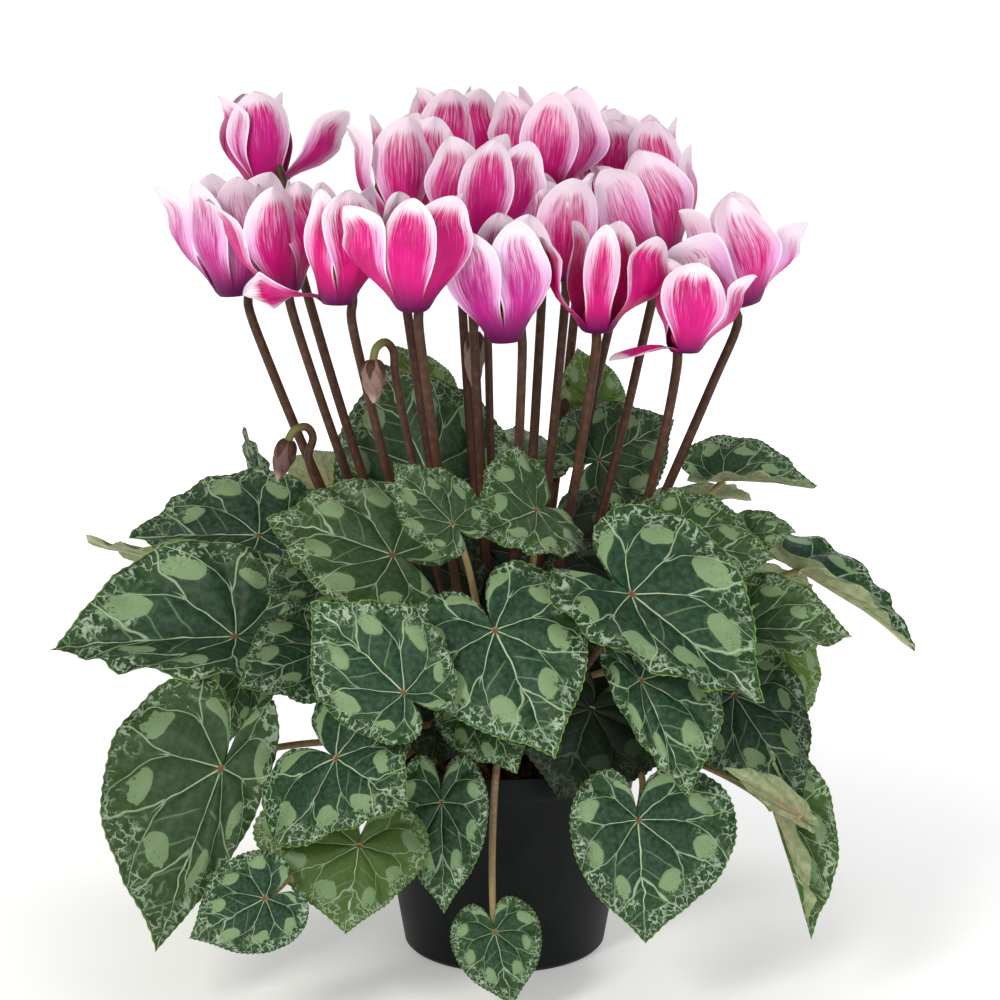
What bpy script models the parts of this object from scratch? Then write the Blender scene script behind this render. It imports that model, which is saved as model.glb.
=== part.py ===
# Potted florist's cyclamen: a plain nursery pot, potting soil, the tuber, and every leaf, flower
# and bud growing from the tuber's crown. Metres, +Z up, origin at the centre of the pot's flat base.
# The tables give places in millimetres, with -Y as the plant's front.
import math

import bmesh
import bpy
from mathutils import Matrix, Vector

MM = 0.001
GAP = 0.3  # clearance between pieces that touch

# Pot, soil and tuber
POT_HEIGHT = 92.0
POT_RIM_RADIUS = 60.0
POT_BASE_RADIUS = 44.0
POT_WALL = 1.3
POT_FLOOR = 2.0
RIM_BAND = 9.0  # height of the thicker band under the rim
RIM_STEP = 1.8  # how far that band stands proud of the wall
DRAIN_HOLES = 5
DRAIN_RADIUS = 4.5
DRAIN_CIRCLE = 29.0
SOIL_TOP = 78.0
TUBER_RADIUS = 37.0
TUBER_TOP = 84.0
TUBER_MIDDLE = 72.0  # height of the tuber's widest ring
TUBER_DEPTH = 12.0  # from that ring down to its underside
LATHE_SIDES = 32

# Leaf blade: a heart drawn in polar form round the eye, where the stalk joins.
# Spokes are degrees from the midrib, reaches are fractions of the length from eye to tip.
HEART = ((0, 1.0), (42, 0.765), (90, 0.655), (135, 0.585), (170, 0.35))
BLADE_THICK = 1.2
BLADE_MIDDLE = 0.55  # reach of the middle ring, as a fraction of the outline
EYE_RADIUS = 2.2
STALK_RADIUS = 1.6
STALK_STEPS = (0.05, 0.18, 0.36, 0.56, 0.78, 1.0)
CROWN_EDGE = 31.5  # stalks and stems start within this distance of the tuber's middle
STALK_INNER = 19.0  # and leaf stalks outside this one, the flattest of them at the crown's edge
CROWN_ROOM = 1.0  # least clearance between two of them

# Flower: a five-sided nose, a petal from each side, and the stem hooked over between two petals
NOSE_RADIUS = 7.5
NOSE_HEIGHT = 5.5
PETAL_LENGTH = 46.0
PETAL_THICK = 1.3
# Reach along the petal as a share of its length, then width in millimetres and thickness factor.
PETAL_STATIONS = ((0.20, 12.0, 1.0), (0.58, 23.0, 1.0), (1.0, 8.0, 0.6))
PETAL_TWIST = 22  # degrees, from base to tip
PETAL_BOW = 4.5  # how far a petal bellies outward
STEM_RADIUS = 2.1
STEM_STEPS = (0.12, 0.3, 0.5, 0.72, 1.0)
FOOT_FLARE = 1.2  # stalks and stems are this much thicker where they stand on the tuber
CROWN_ROUNDS = 60
STEM_SPREAD = 0.18  # stems start this share as far from the middle as their flowers hang
HOOK = ((0, 9.5), (5, 12), (10.5, 9.5), (12, 0), (11.5, -9))  # out from and up from the nose

# eye and tip: the blade's two ends. face: the way its upper side looks. wide: width factor.
# fold: how far the left and right halves are raised, degrees. arch: bend along the midrib, degrees.
# back, under: how far the stalk's last stretch comes from behind and from beneath the eye.
# rise: how steeply it sets off from the crown, as a share of its span. over: a place it bends toward.
LEAVES = {
    "leaf_01": dict(
        eye=(-114, -30, 146), tip=(-194, -30, 141), face=(0, -0.61, 0.79),
        fold=(28, 28), rise=0.35,
    ),
    "leaf_02": dict(
        eye=(-106, 24, 175), tip=(-163, 28, 174), face=(0, -0.5, 0.85),
        fold=(20, 20), back=4, under=24, rise=0.15,
    ),
    "leaf_03": dict(eye=(-138, 60, 158), tip=(-190, 64, 168), face=(0, 0.3, 0.95)),
    "leaf_04": dict(eye=(-107, 66, 194), tip=(-115, 70, 216), face=(-0.9, -0.2, 0.3)),
    "leaf_05": dict(eye=(-46, -62, 189), tip=(-99, -52, 204), face=(-0.2, -0.6, 0.75), fold=(8, 8)),
    "leaf_06": dict(eye=(-40, -118, 146), tip=(-78, -100, 179), face=(-0.1, -0.8, 0.6), rise=0.7),
    "leaf_07": dict(eye=(-73, -60, 149), tip=(-110, -82, 138), face=(-0.2, -0.7, 0.65)),
    "leaf_08": dict(eye=(-108, -14, 128), tip=(-124, -12, 94), face=(-0.3, 0.9, 0.1), rise=0.25),
    "leaf_09": dict(eye=(-116, -82, 104), tip=(-135, -104, 52), face=(-0.1, -0.93, 0.3), wide=1.15),
    "leaf_10": dict(
        eye=(-68, -104, 115), tip=(-38, -134, 104), face=(-0.5, -0.65, 0.55),
        wide=1.25, rise=0.45,
    ),
    "leaf_11": dict(
        eye=(-59, -104, 78), tip=(-64, -120, 46), face=(0, -0.93, 0.35),
        wide=1.25, rise=0.4,
    ),
    "leaf_12": dict(eye=(-96, -124, 50), tip=(-123, -128, 42), face=(0, -0.9, 0.4), rise=0.45),
    "leaf_13": dict(eye=(-21, -92, 209), tip=(-45, -78, 231), face=(0.1, -0.85, 0.5), wide=0.85),
    "leaf_14": dict(eye=(13, -49, 208), tip=(-3, -89, 210), face=(0.3, -0.4, 0.85), fold=(22, 22)),
    "leaf_15": dict(eye=(-4, -96, 166), tip=(20, -124, 121), face=(0, -0.9, 0.45)),
    "leaf_16": dict(eye=(-10, -75, 128), tip=(5, -93, 105), face=(0.1, -0.8, 0.6)),
    "leaf_17": dict(eye=(-18, -82, 94), tip=(-22, -92, 49), face=(0, -0.95, 0.3), rise=0.3),
    "leaf_18": dict(
        eye=(51, -84, 178), tip=(103, -104, 137), face=(0.1, -0.65, 0.75),
        fold=(20, 20), rise=0.35,
    ),
    "leaf_19": dict(eye=(58, -69, 191), tip=(44, -59, 212), face=(-0.1, -0.75, 0.65), under=24),
    "leaf_20": dict(eye=(72, -39, 189), tip=(113, -39, 182), face=(0.1, -0.7, 0.7), wide=1.15),
    "leaf_21": dict(eye=(95, 10, 206), tip=(136, 14, 202), face=(0, 0.05, 1), fold=(45, 45)),
    "leaf_22": dict(eye=(101, -14, 187), tip=(124, -20, 190), face=(0.1, -0.6, 0.8)),
    "leaf_23": dict(eye=(132, 10, 163), tip=(181, -2, 133), face=(0.2, 0.05, 0.97), fold=(45, 45)),
    "leaf_24": dict(eye=(99, -42, 153), tip=(145, -54, 153), face=(0.1, -0.55, 0.83), fold=(20, 20)),
    "leaf_25": dict(eye=(55, -88, 143), tip=(75, -112, 101), face=(0.25, -0.85, 0.45), rise=0.5),
    "leaf_26": dict(eye=(31, -64, 119), tip=(16, -82, 76), face=(0.1, -0.92, 0.4), wide=0.75),
    "leaf_27": dict(
        eye=(54, -98, 87), tip=(57, -112, 39), face=(0.05, -0.95, 0.3),
        wide=1.15, over=(74, -60, 120), back=4,
    ),
    "leaf_28": dict(eye=(95, -64, 130), tip=(122, -84, 90), face=(0.35, -0.88, 0.3), wide=0.92),
    "leaf_29": dict(eye=(104, -80, 80), tip=(136, -92, 38), face=(0.3, -0.9, 0.3), rise=0.35),
    "leaf_30": dict(eye=(-35, 42, 204), tip=(-56, 62, 249), face=(0.1, -0.85, 0.5)),
    "leaf_31": dict(eye=(42, 48, 200), tip=(74, 56, 215), face=(0, -0.7, 0.7), wide=1.2, rise=0.15),
    "leaf_32": dict(eye=(-88, 92, 145), tip=(-134, 122, 118), face=(-0.3, 0.4, 0.85)),
    "leaf_33": dict(eye=(-40, 100, 165), tip=(-62, 156, 135), face=(-0.2, 0.6, 0.75)),
    "leaf_34": dict(eye=(40, 100, 160), tip=(66, 152, 130), face=(0.2, 0.6, 0.75)),
    "leaf_35": dict(eye=(95, 75, 152), tip=(146, 98, 125), face=(0.3, 0.5, 0.8)),
    "leaf_36": dict(eye=(2, 104, 110), tip=(6, 132, 62), face=(0, 0.9, 0.4)),
}

# nose: the lowest point of the flower. tilt: how its petals lean to +X and +Y, as slopes.
# hook: compass angle of the side where the stem goes up, degrees from +X. lean: each petal's angle
# from the flower's axis, degrees, counted round from the hook. long: the petals' length.
# bend: how far the stem bows to +X and +Y on its way down.
FLOWERS = {
    "flower_01": dict(
        nose=(-104, 56, 325), tilt=(-0.1, 0.1), hook=-50,
        lean=(48, 14, 10, 8, 8), long=40,
    ),
    "flower_02": dict(
        nose=(-117, 20, 285), tilt=(-0.12, 0), hook=60,
        lean=(10, 32, 12, 6, 10), long=48,
    ),
    "flower_03": dict(nose=(-92, -8, 290), tilt=(-0.15, 0), hook=90, lean=(8, 20, 8, 8, 8), long=42),
    "flower_04": dict(nose=(-69, -40, 290), tilt=(0.02, 0), hook=60, lean=(12, 92, 8, 8, 8), long=44),
    "flower_05": dict(nose=(-37, -66, 291), tilt=(0, 0), hook=80, lean=(12, 32, 6, 10, 12), long=43),
    "flower_06": dict(nose=(-44, 16, 314), tilt=(0, 0), hook=100, lean=(12, 34, 8, 8, 8), long=44),
    "flower_07": dict(nose=(-23, 54, 322), tilt=(0, 0), hook=80, lean=(14, 10, 6, 6, 6), long=45),
    "flower_08": dict(nose=(-12, -8, 308), tilt=(0.05, 0), hook=100, lean=(6, 14, 8, 16, 10), long=44),
    "flower_09": dict(
        nose=(0, -44, 275), tilt=(-0.05, 0), hook=54,
        lean=(6, 18, 12, 8, 8), long=47, bend=(0, 6),
    ),
    "flower_10": dict(nose=(38, -38, 278), tilt=(0, 0), hook=90, lean=(12, 26, 6, 26, 10), long=41),
    "flower_11": dict(
        nose=(69, 22, 302), tilt=(-0.28, 0), hook=120,
        lean=(20, 16, 10, 26, 12), long=42,
    ),
    "flower_12": dict(nose=(18, 28, 325), tilt=(0, 0), hook=90, lean=(10, 16, 10, 12, 10), long=44),
    "flower_13": dict(nose=(38, 94, 312), tilt=(0, 0), hook=100, lean=(8, 12, 8, 9, 8), long=43),
    "flower_14": dict(
        nose=(61, 60, 314), tilt=(0, 0), hook=110,
        lean=(8, 8, 8, 12, 8), long=40, bend=(-8, 0),
    ),
    "flower_15": dict(nose=(26, 0, 294), tilt=(0, 0), hook=90, lean=(8, 14, 8, 10, 8), long=40),
    "flower_16": dict(
        nose=(74, -40, 270), tilt=(0.05, 0), hook=100,
        lean=(8, 98, 6, 34, 10), long=34, bend=(8, 8),
    ),
    "flower_17": dict(
        nose=(102, -8, 285), tilt=(-0.28, 0), hook=120,
        lean=(10, 34, 8, 52, 14), long=43, bend=(-6, -6),
    ),
}

# neck: where the stalk turns over. drop: the way the bud hangs. size: its length and width.
BUDS = {
    "bud_1": dict(neck=(-92, -30, 240), drop=(-0.3, 0, -1), size=(24, 9)),
    "bud_2": dict(neck=(-54, -42, 270), drop=(0, -0.1, -1), size=(26, 11)),
    "bud_3": dict(neck=(-13, 20, 270), drop=(0, 0, -1), size=(26, 9)),
    "bud_4": dict(neck=(66, -81, 113), drop=(0.1, 0, -1), size=(22, 9), over=(62, -52, 112)),
}
BUD_STATIONS = ((0.08, 0.75), (0.35, 1.0), (0.7, 0.7), (1.0, 0.18))  # reach, width
BUD_HOOK = ((1.5, -4), (6, -6), (10, -2))  # out from and down from the neck


def finish(name, bm, colour, roughness):
    """Makes the named object from a mesh drawn in millimetres, with a material of its own."""
    bmesh.ops.recalc_face_normals(bm, faces=bm.faces)
    bmesh.ops.scale(bm, vec=(MM, MM, MM), verts=bm.verts)
    mesh = bpy.data.meshes.new(name)
    bm.to_mesh(mesh)
    bm.free()
    mesh.shade_smooth()
    mesh.set_sharp_from_angle(angle=math.radians(40))
    material = bpy.data.materials.new(name)
    material.use_nodes = True
    shader = material.node_tree.nodes["Principled BSDF"]
    shader.inputs["Base Color"].default_value = (*colour, 1.0)
    shader.inputs["Roughness"].default_value = roughness
    shader.inputs["Metallic"].default_value = 0.0
    mesh.materials.append(material)
    obj = bpy.data.objects.new(name, mesh)
    bpy.context.scene.collection.objects.link(obj)
    return obj


def lathe(profile):
    """A closed ring or disc turned about Z from a profile of (radius, height) points."""
    bm = bmesh.new()
    verts = [bm.verts.new((radius, 0, height)) for radius, height in profile]
    edges = [bm.edges.new(pair) for pair in zip(verts, verts[1:])]
    if profile[0][0] > 0:
        edges.append(bm.edges.new((verts[-1], verts[0])))
    bmesh.ops.spin(
        bm, geom=verts + edges, cent=(0, 0, 0), axis=(0, 0, 1),
        angle=2 * math.pi, steps=LATHE_SIDES, use_merge=True, use_duplicate=False,
    )
    bmesh.ops.remove_doubles(bm, verts=bm.verts, dist=0.001)
    return bm


def draw_out(bm, face, x_axis, y_axis, stations):
    """Extrudes a face through stations of (centre, x axis, y axis, x scale, y scale)."""
    centre = face.calc_center_median()
    offsets = [((v.co - centre).dot(x_axis), (v.co - centre).dot(y_axis)) for v in face.verts]
    for place, across, along, x_scale, y_scale in stations:
        face = bmesh.ops.extrude_discrete_faces(bm, faces=[face])["faces"][0]
        for vert, (x, y) in zip(face.verts, offsets):
            vert.co = place + across * (x * x_scale) + along * (y * y_scale)
    return face


def bezier(points, share):
    """Point on the Bezier curve through the given control points."""
    points = [Vector(point) for point in points]
    while len(points) > 1:
        points = [a.lerp(b, share) for a, b in zip(points, points[1:])]
    return points[0]


def tube_stations(route, x_axis, y_axis, outward, scales):
    """Stations along a route that carry the first face's axes with them, so the tube has no twist.
    The last one lies level, to stand on the tuber."""
    stations = []
    heading = outward
    for index in range(1, len(route)):
        before = route[index] - route[index - 1]
        after = route[min(index + 1, len(route) - 1)] - route[index]
        ahead = (before.normalized() + after.normalized()).normalized()
        if index == len(route) - 1:
            ahead = Vector((0, 0, -1))
        turn = heading.rotation_difference(ahead)
        x_axis, y_axis, heading = turn @ x_axis, turn @ y_axis, ahead
        stations.append((route[index], x_axis, y_axis, scales[index - 1], scales[index - 1]))
    return stations


def stem_route(top, root, bend):
    """Points of a stem below its hook: steep under the flower, leaning out from the crown."""
    aside = Vector((*bend, 0))
    upper = Vector((*top.xy.lerp(root.xy, 0.27), top.z + (root.z - top.z) * 0.35)) + aside
    lower = Vector((*top.xy.lerp(root.xy, 0.64), top.z + (root.z - top.z) * 0.7)) + aside
    return [bezier([top, upper, lower, root], share) for share in STEM_STEPS]


def tuber_height(radius):
    """Height of the tuber's top at this distance from its middle: nearly flat, then rounding off."""
    share = min(1.0, radius / TUBER_RADIUS)
    return TUBER_MIDDLE + (TUBER_TOP - TUBER_MIDDLE) * (1 - share**3.2) ** (1 / 3.2)


def settle_crown():
    """Where each stalk and stem stands on the tuber: below what it carries, pushed apart to fit."""
    feet, rooms, inners = {}, {}, {}
    for name, item in {**LEAVES, **FLOWERS, **BUDS}.items():
        top = Vector(item.get("eye") or item.get("nose") or item.get("neck"))
        foot = Vector((top.x, top.y)) * STEM_SPREAD
        if name in LEAVES or "over" in item:
            flat = foot.length / STEM_SPREAD / (top - Vector((0, 0, TUBER_TOP))).length
            foot = foot.normalized() * (STALK_INNER + (CROWN_EDGE - STALK_INNER) * flat**2)
        inners[name] = STALK_INNER if name in LEAVES else 0.0
        feet[name] = foot
        rooms[name] = FOOT_FLARE * (STALK_RADIUS if name in LEAVES else STEM_RADIUS) + CROWN_ROOM / 2
    names = list(feet)
    for _ in range(CROWN_ROUNDS):
        for index, name in enumerate(names):
            for other in names[index + 1 :]:
                apart = feet[name] - feet[other]
                short = rooms[name] + rooms[other] - apart.length
                if short > 0:
                    push = apart.normalized() * (short / 2)
                    feet[name] += push
                    feet[other] -= push
        for name, foot in feet.items():
            distance = min(CROWN_EDGE, max(inners[name], foot.length))
            feet[name] = foot.normalized() * distance
    return feet


def crown_point(foot, radius):
    """The foot's place in space, just clear of the tuber's top."""
    inner = max(0.0, foot.length - radius)
    return Vector((foot.x, foot.y, tuber_height(inner) + GAP))


def make_pot():
    top = POT_HEIGHT
    lower = POT_RIM_RADIUS - RIM_STEP - 0.8  # wall just under the band
    profile = [
        (0, 0),
        (POT_BASE_RADIUS - 2, 0),
        (POT_BASE_RADIUS, 2),
        (lower, top - RIM_BAND - 2),
        (lower + RIM_STEP, top - RIM_BAND),
        (POT_RIM_RADIUS - 0.5, top),
        (POT_RIM_RADIUS - 0.5 - POT_WALL, top),
        (lower - POT_WALL, top - RIM_BAND - 2),
        (POT_BASE_RADIUS - POT_WALL, POT_FLOOR),
        (0, POT_FLOOR),
    ]
    pot = finish("pot", lathe(profile), (0.015, 0.018, 0.022), 0.55)
    bm = bmesh.new()
    for index in range(DRAIN_HOLES):
        angle = 2 * math.pi * index / DRAIN_HOLES
        place = Matrix.Translation((DRAIN_CIRCLE * math.cos(angle), DRAIN_CIRCLE * math.sin(angle), 0))
        bmesh.ops.create_cone(
            bm, cap_ends=True, segments=10, radius1=DRAIN_RADIUS, radius2=DRAIN_RADIUS,
            depth=4 * POT_FLOOR, matrix=place,
        )
    cutter = finish("pot_drain_cutter", bm, (0.5, 0.5, 0.5), 0.5)
    cutter.hide_render = True
    cutter.display_type = "WIRE"
    cut = pot.modifiers.new("drain_holes", "BOOLEAN")
    cut.operation = "DIFFERENCE"
    cut.object = cutter


def make_soil_and_tuber():
    slope = (POT_RIM_RADIUS - RIM_STEP - 0.8 - POT_BASE_RADIUS) / (POT_HEIGHT - RIM_BAND - 4)
    inside = POT_BASE_RADIUS - POT_WALL - 2 * GAP
    low, high = POT_FLOOR + GAP, SOIL_TOP - 1.5
    under = []
    for angle in (0, 30, 60, 80):
        turn = math.radians(angle)
        under.append((TUBER_RADIUS * math.sin(turn), TUBER_MIDDLE - TUBER_DEPTH * math.cos(turn)))
    brim = TUBER_RADIUS + GAP
    soil = [
        (0, low),
        (inside + slope * (low - 2), low),
        (inside + slope * (high - 2), high),
        (brim + 6, SOIL_TOP),
        (brim + 0.5, SOIL_TOP - 1),
        (brim, TUBER_MIDDLE - 0.5),
    ]
    bowl = [(radius, height - GAP) for radius, height in under]
    finish("soil", lathe(soil + bowl[::-1]), (0.05, 0.033, 0.02), 0.95)
    top = [(radius, tuber_height(radius)) for radius in (0, 14, 24, 31, 35.5)]
    tuber = under + [(TUBER_RADIUS, TUBER_MIDDLE)] + top[::-1]
    finish("tuber", lathe(tuber), (0.14, 0.08, 0.05), 0.8)


def blade_point(leaf, length, along, across, height):
    """Bends a point of the flat blade: folded along the midrib, then arched from eye to tip."""
    fold = math.radians(leaf.get("fold", (0, 0))[0 if across > 0 else 1])
    arch = math.radians(leaf.get("arch", 14))
    cup = leaf.get("cup", -0.12) * across * across / length
    lift = abs(across) * math.sin(fold) + cup + height / math.cos(fold)
    across *= math.cos(fold)
    slope = arch * (0.5 - along / length) if along > 0 else arch * 0.5
    middle = (arch * 0.5 + slope) / 2
    run, rise = along * math.cos(middle), along * math.sin(middle)
    return run - lift * math.sin(slope), across, rise + lift * math.cos(slope)


def make_leaf(name, leaf, foot):
    eye, tip = Vector(leaf["eye"]), Vector(leaf["tip"])
    length = (tip - eye).length
    forward = (tip - eye).normalized()
    face = Vector(leaf["face"])
    up = (face - forward * face.dot(forward)).normalized()
    left = up.cross(forward)

    right_side = [(-angle, reach) for angle, reach in HEART[:0:-1]]
    spokes = [(math.radians(angle), reach) for angle, reach in HEART + tuple(right_side)]
    bm = bmesh.new()
    bmesh.ops.create_circle(bm, cap_ends=True, segments=len(spokes), radius=EYE_RADIUS)
    bm.verts.ensure_lookup_table()
    bm.faces.ensure_lookup_table()
    ring = list(bm.faces[0].verts)
    for vert, (angle, _) in zip(ring, spokes):
        vert.co = (EYE_RADIUS * math.cos(angle), EYE_RADIUS * math.sin(angle), 0)
    notch = len(HEART) - 1  # the side of the eye that faces the notch between the lobes
    for ring_reach in (BLADE_MIDDLE, 1.0):
        pairs = list(zip(ring, ring[1:] + ring[:1]))
        edges = [bm.edges.get(pair) for index, pair in enumerate(pairs) if index != notch]
        grown = bmesh.ops.extrude_edge_only(bm, edges=edges)["geom"]
        twins = [item for item in grown if isinstance(item, bmesh.types.BMVert)]
        ring = [min(twins, key=lambda twin: (twin.co - vert.co).length) for vert in ring]
        for vert, (angle, reach) in zip(ring, spokes):
            reach *= length * ring_reach
            vert.co = (reach * math.cos(angle), reach * math.sin(angle) * leaf.get("wide", 1.0), 0)
    bmesh.ops.recalc_face_normals(bm, faces=bm.faces)
    bmesh.ops.solidify(bm, geom=bm.faces[:], thickness=BLADE_THICK)
    low = min(vert.co.z for vert in bm.verts)
    for vert in bm.verts:
        height = BLADE_THICK * (0.5 if vert.co.z - low > BLADE_THICK / 2 else -0.5)
        run, across, rise = blade_point(leaf, length, vert.co.x, vert.co.y, height)
        vert.co = eye + forward * run + left * across + up * rise

    under_eye = min(
        (face for face in bm.faces if len(face.verts) == len(spokes)),
        key=lambda face: (face.calc_center_median() - eye).dot(up),
    )
    start = under_eye.calc_center_median()
    root = crown_point(foot, STALK_RADIUS * FOOT_FLARE)
    span = (start - root).length
    back, under = leaf.get("back", 14), leaf.get("under", 14)
    rise = leaf.get("rise", 0.5 - 0.3 * min(1, eye.xy.length / 120))
    lift = leaf.get("over") or root + Vector((0, 0, rise * span))
    curve = [start, start - forward * back - up * under, lift, root]
    route = [start] + [bezier(curve, share) for share in STALK_STEPS]
    thick = STALK_RADIUS / EYE_RADIUS
    scales = [thick, thick, thick, thick * 1.05, thick * 1.12, thick * FOOT_FLARE]
    draw_out(bm, under_eye, forward, left, tube_stations(route, forward, left, -up, scales))
    finish(name, bm, (0.035, 0.1, 0.06), 0.5)


def make_flower(name, flower, foot):
    nose = Vector(flower["nose"])
    axis = Vector((*flower.get("tilt", (0, 0)), 1)).normalized()
    hook = math.radians(flower["hook"])
    side = Vector((math.cos(hook), math.sin(hook), 0))
    side = (side - axis * side.dot(axis)).normalized()
    round_ = axis.cross(side)
    bm = bmesh.new()
    rings = []
    for height, radius in ((0, NOSE_RADIUS * 0.8), (NOSE_HEIGHT, NOSE_RADIUS)):
        corners = []
        for index in range(5):
            angle = math.radians(72 * index)
            out = side * math.cos(angle) + round_ * math.sin(angle)
            corners.append(bm.verts.new(nose + axis * height + out * radius))
        rings.append(corners)
    low, high = rings
    bm.faces.new(low[::-1])
    top = bm.faces.new(high)
    for index in range(5):
        following = (index + 1) % 5
        wall = bm.faces.new((low[index], low[following], high[following], high[index]))
        # The two petals beside the stem are pushed apart by it.
        spare = {0: 12, 4: -12}.get(index, 0)
        angle = math.radians(72 * index + 36)
        out = side * math.cos(angle) + round_ * math.sin(angle)
        swung = math.radians(72 * index + 36 + spare)
        aim = side * math.cos(swung) + round_ * math.sin(swung)
        lean = math.radians(flower.get("lean", (13,) * 5)[index])
        length = flower.get("long", PETAL_LENGTH)
        twist = math.radians(PETAL_TWIST)
        base = wall.calc_center_median()
        x_axis = axis.cross(out)
        stations = []
        for reach, width, thick in PETAL_STATIONS:
            way = axis * math.cos(lean) + aim * math.sin(lean)
            belly = PETAL_BOW * math.sin(math.pi * min(1, 1.3 * reach))
            place = base + way * (length * reach) + aim * belly
            turned = Matrix.Rotation(twist * reach, 3, way) @ axis.cross(aim)
            depth = way.cross(turned)
            side_width = (low[following].co - low[index].co).length
            stations.append((place, turned, depth, width / side_width, thick * PETAL_THICK / NOSE_HEIGHT))
        draw_out(bm, wall, x_axis, axis, stations)
    root = crown_point(foot, STEM_RADIUS * FOOT_FLARE)
    turn = [top.calc_center_median()]
    for out, up in HOOK:
        turn.append(nose + side * out + axis * up)
    route = turn + stem_route(turn[-1], root, flower.get("bend", (0, 0)))
    thick = STEM_RADIUS / NOSE_RADIUS
    scales = [thick] * (len(route) - 3) + [thick * 1.1, thick * FOOT_FLARE]
    draw_out(bm, top, side, round_, tube_stations(route, side, round_, axis, scales))
    finish(name, bm, (0.62, 0.03, 0.2), 0.45)


def make_bud(name, bud, foot):
    neck = Vector(bud["neck"])
    drop = Vector(bud["drop"]).normalized()
    length, width = bud["size"]
    inward = Vector((-neck.x, -neck.y, 0)).normalized()
    inward = (inward - drop * inward.dot(drop)).normalized()
    round_ = drop.cross(inward)
    bm = bmesh.new()
    bmesh.ops.create_circle(bm, cap_ends=True, segments=6, radius=STEM_RADIUS * 0.8)
    bm.faces.ensure_lookup_table()
    disc = bm.faces[0]
    for vert in disc.verts:
        vert.co = neck + inward * vert.co.x + round_ * vert.co.y
    made = bmesh.ops.extrude_face_region(bm, geom=[disc], use_keep_orig=True)["geom"]
    cap = next(item for item in made if isinstance(item, bmesh.types.BMFace))
    for vert in cap.verts:
        vert.co += drop
    bulge = width / (2 * STEM_RADIUS * 0.8)
    body = []
    for reach, wide in BUD_STATIONS:
        place = neck + drop * (1 + length * reach)
        body.append((place, inward, round_, bulge * wide, bulge * wide))
    draw_out(bm, cap, inward, round_, body)
    root = crown_point(foot, STEM_RADIUS * FOOT_FLARE)
    turn = [neck]
    for out, down in BUD_HOOK:
        turn.append(neck + inward * out + drop * down)
    if "over" in bud:
        curve = [turn[-1], Vector(bud["over"]), root + Vector((0, 0, 30)), root]
        route = turn + [bezier(curve, share) for share in STEM_STEPS]
    else:
        turn.append(neck + inward * 11 + drop * 8)
        route = turn + stem_route(turn[-1], root, bud.get("bend", (0, 0)))
    scales = [1.0] * (len(route) - 2) + [FOOT_FLARE]
    draw_out(bm, disc, inward, round_, tube_stations(route, inward, round_, -drop, scales))
    finish(name, bm, (0.25, 0.12, 0.12), 0.55)


def main():
    for obj in list(bpy.data.objects):
        bpy.data.objects.remove(obj, do_unlink=True)
    make_pot()
    make_soil_and_tuber()
    feet = settle_crown()
    for name, leaf in LEAVES.items():
        make_leaf(name, leaf, feet[name])
    for name, flower in FLOWERS.items():
        make_flower(name, flower, feet[name])
    for name, bud in BUDS.items():
        make_bud(name, bud, feet[name])


main()
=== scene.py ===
import math
import random

import bmesh
import bpy
from mathutils import Matrix, Vector, noise


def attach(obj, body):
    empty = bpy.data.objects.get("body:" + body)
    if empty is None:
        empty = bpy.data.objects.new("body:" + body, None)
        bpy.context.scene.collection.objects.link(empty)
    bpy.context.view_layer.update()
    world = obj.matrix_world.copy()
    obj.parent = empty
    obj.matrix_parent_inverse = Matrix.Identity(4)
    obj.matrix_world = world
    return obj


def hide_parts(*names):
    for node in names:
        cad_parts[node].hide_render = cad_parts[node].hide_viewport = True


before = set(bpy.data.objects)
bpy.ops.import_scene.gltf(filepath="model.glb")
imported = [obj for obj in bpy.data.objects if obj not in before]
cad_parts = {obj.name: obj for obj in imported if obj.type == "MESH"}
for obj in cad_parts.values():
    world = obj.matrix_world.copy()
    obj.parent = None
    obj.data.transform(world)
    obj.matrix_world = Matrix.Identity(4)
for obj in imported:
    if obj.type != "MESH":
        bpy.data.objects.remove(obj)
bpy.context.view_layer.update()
mm = 0.001
print("frame loaded:", len(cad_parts), "nodes")


def colour(code):
    # sRGB hex to linear
    parts = [int(code[i:i + 2], 16) / 255 for i in (1, 3, 5)]
    linear = [p / 12.92 if p <= 0.04045 else ((p + 0.055) / 1.055) ** 2.4 for p in parts]
    return (*linear, 1.0)


def addNode(tree, kind, inputs=(), out=0, **settings):
    # makes one shader node, fills or links its inputs, and hands back one output, or all for None;
    # inputs are given in their order, or by name or number where some are left out; MapRange
    # eases from 0 at its second input to 1 at its third, which may be the smaller one
    node = tree.nodes.new("ShaderNode" + kind)
    for name, value in settings.items():
        setattr(node, name, value)
    for key, value in inputs.items() if isinstance(inputs, dict) else enumerate(inputs):
        if isinstance(value, bpy.types.NodeSocket):
            tree.links.new(value, node.inputs[key])
        else:
            node.inputs[key].default_value = value
    return node.outputs if out is None else node.outputs[out]


def coat(tree, under, code, amount, most):
    # a hex colour laid over another, never stronger than most
    return addNode(
        tree, "Mix",
        {0: addNode(tree, "Math", (amount, most), operation="MULTIPLY"), 6: under, 7: colour(code)},
        2, data_type="RGBA",
    )


def blotched(tree, first, second, pattern, low, high):
    # two hex colours that a pattern changes between
    return addNode(
        tree, "Mix",
        {
            0: addNode(tree, "MapRange", (pattern, low, high), interpolation_type="SMOOTHSTEP"),
            6: colour(first), 7: colour(second),
        },
        2, data_type="RGBA",
    )


def readMaps(tree):
    # what newSheet's meshes carry: the plan map, the param map and the three values of kind
    plan = addNode(tree, "UVMap", uv_map="plan")
    param = addNode(tree, "UVMap", uv_map="param")
    kind = addNode(tree, "Attribute", attribute_name="kind")
    return plan, param, addNode(tree, "SeparateColor", (kind,), None)


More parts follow.
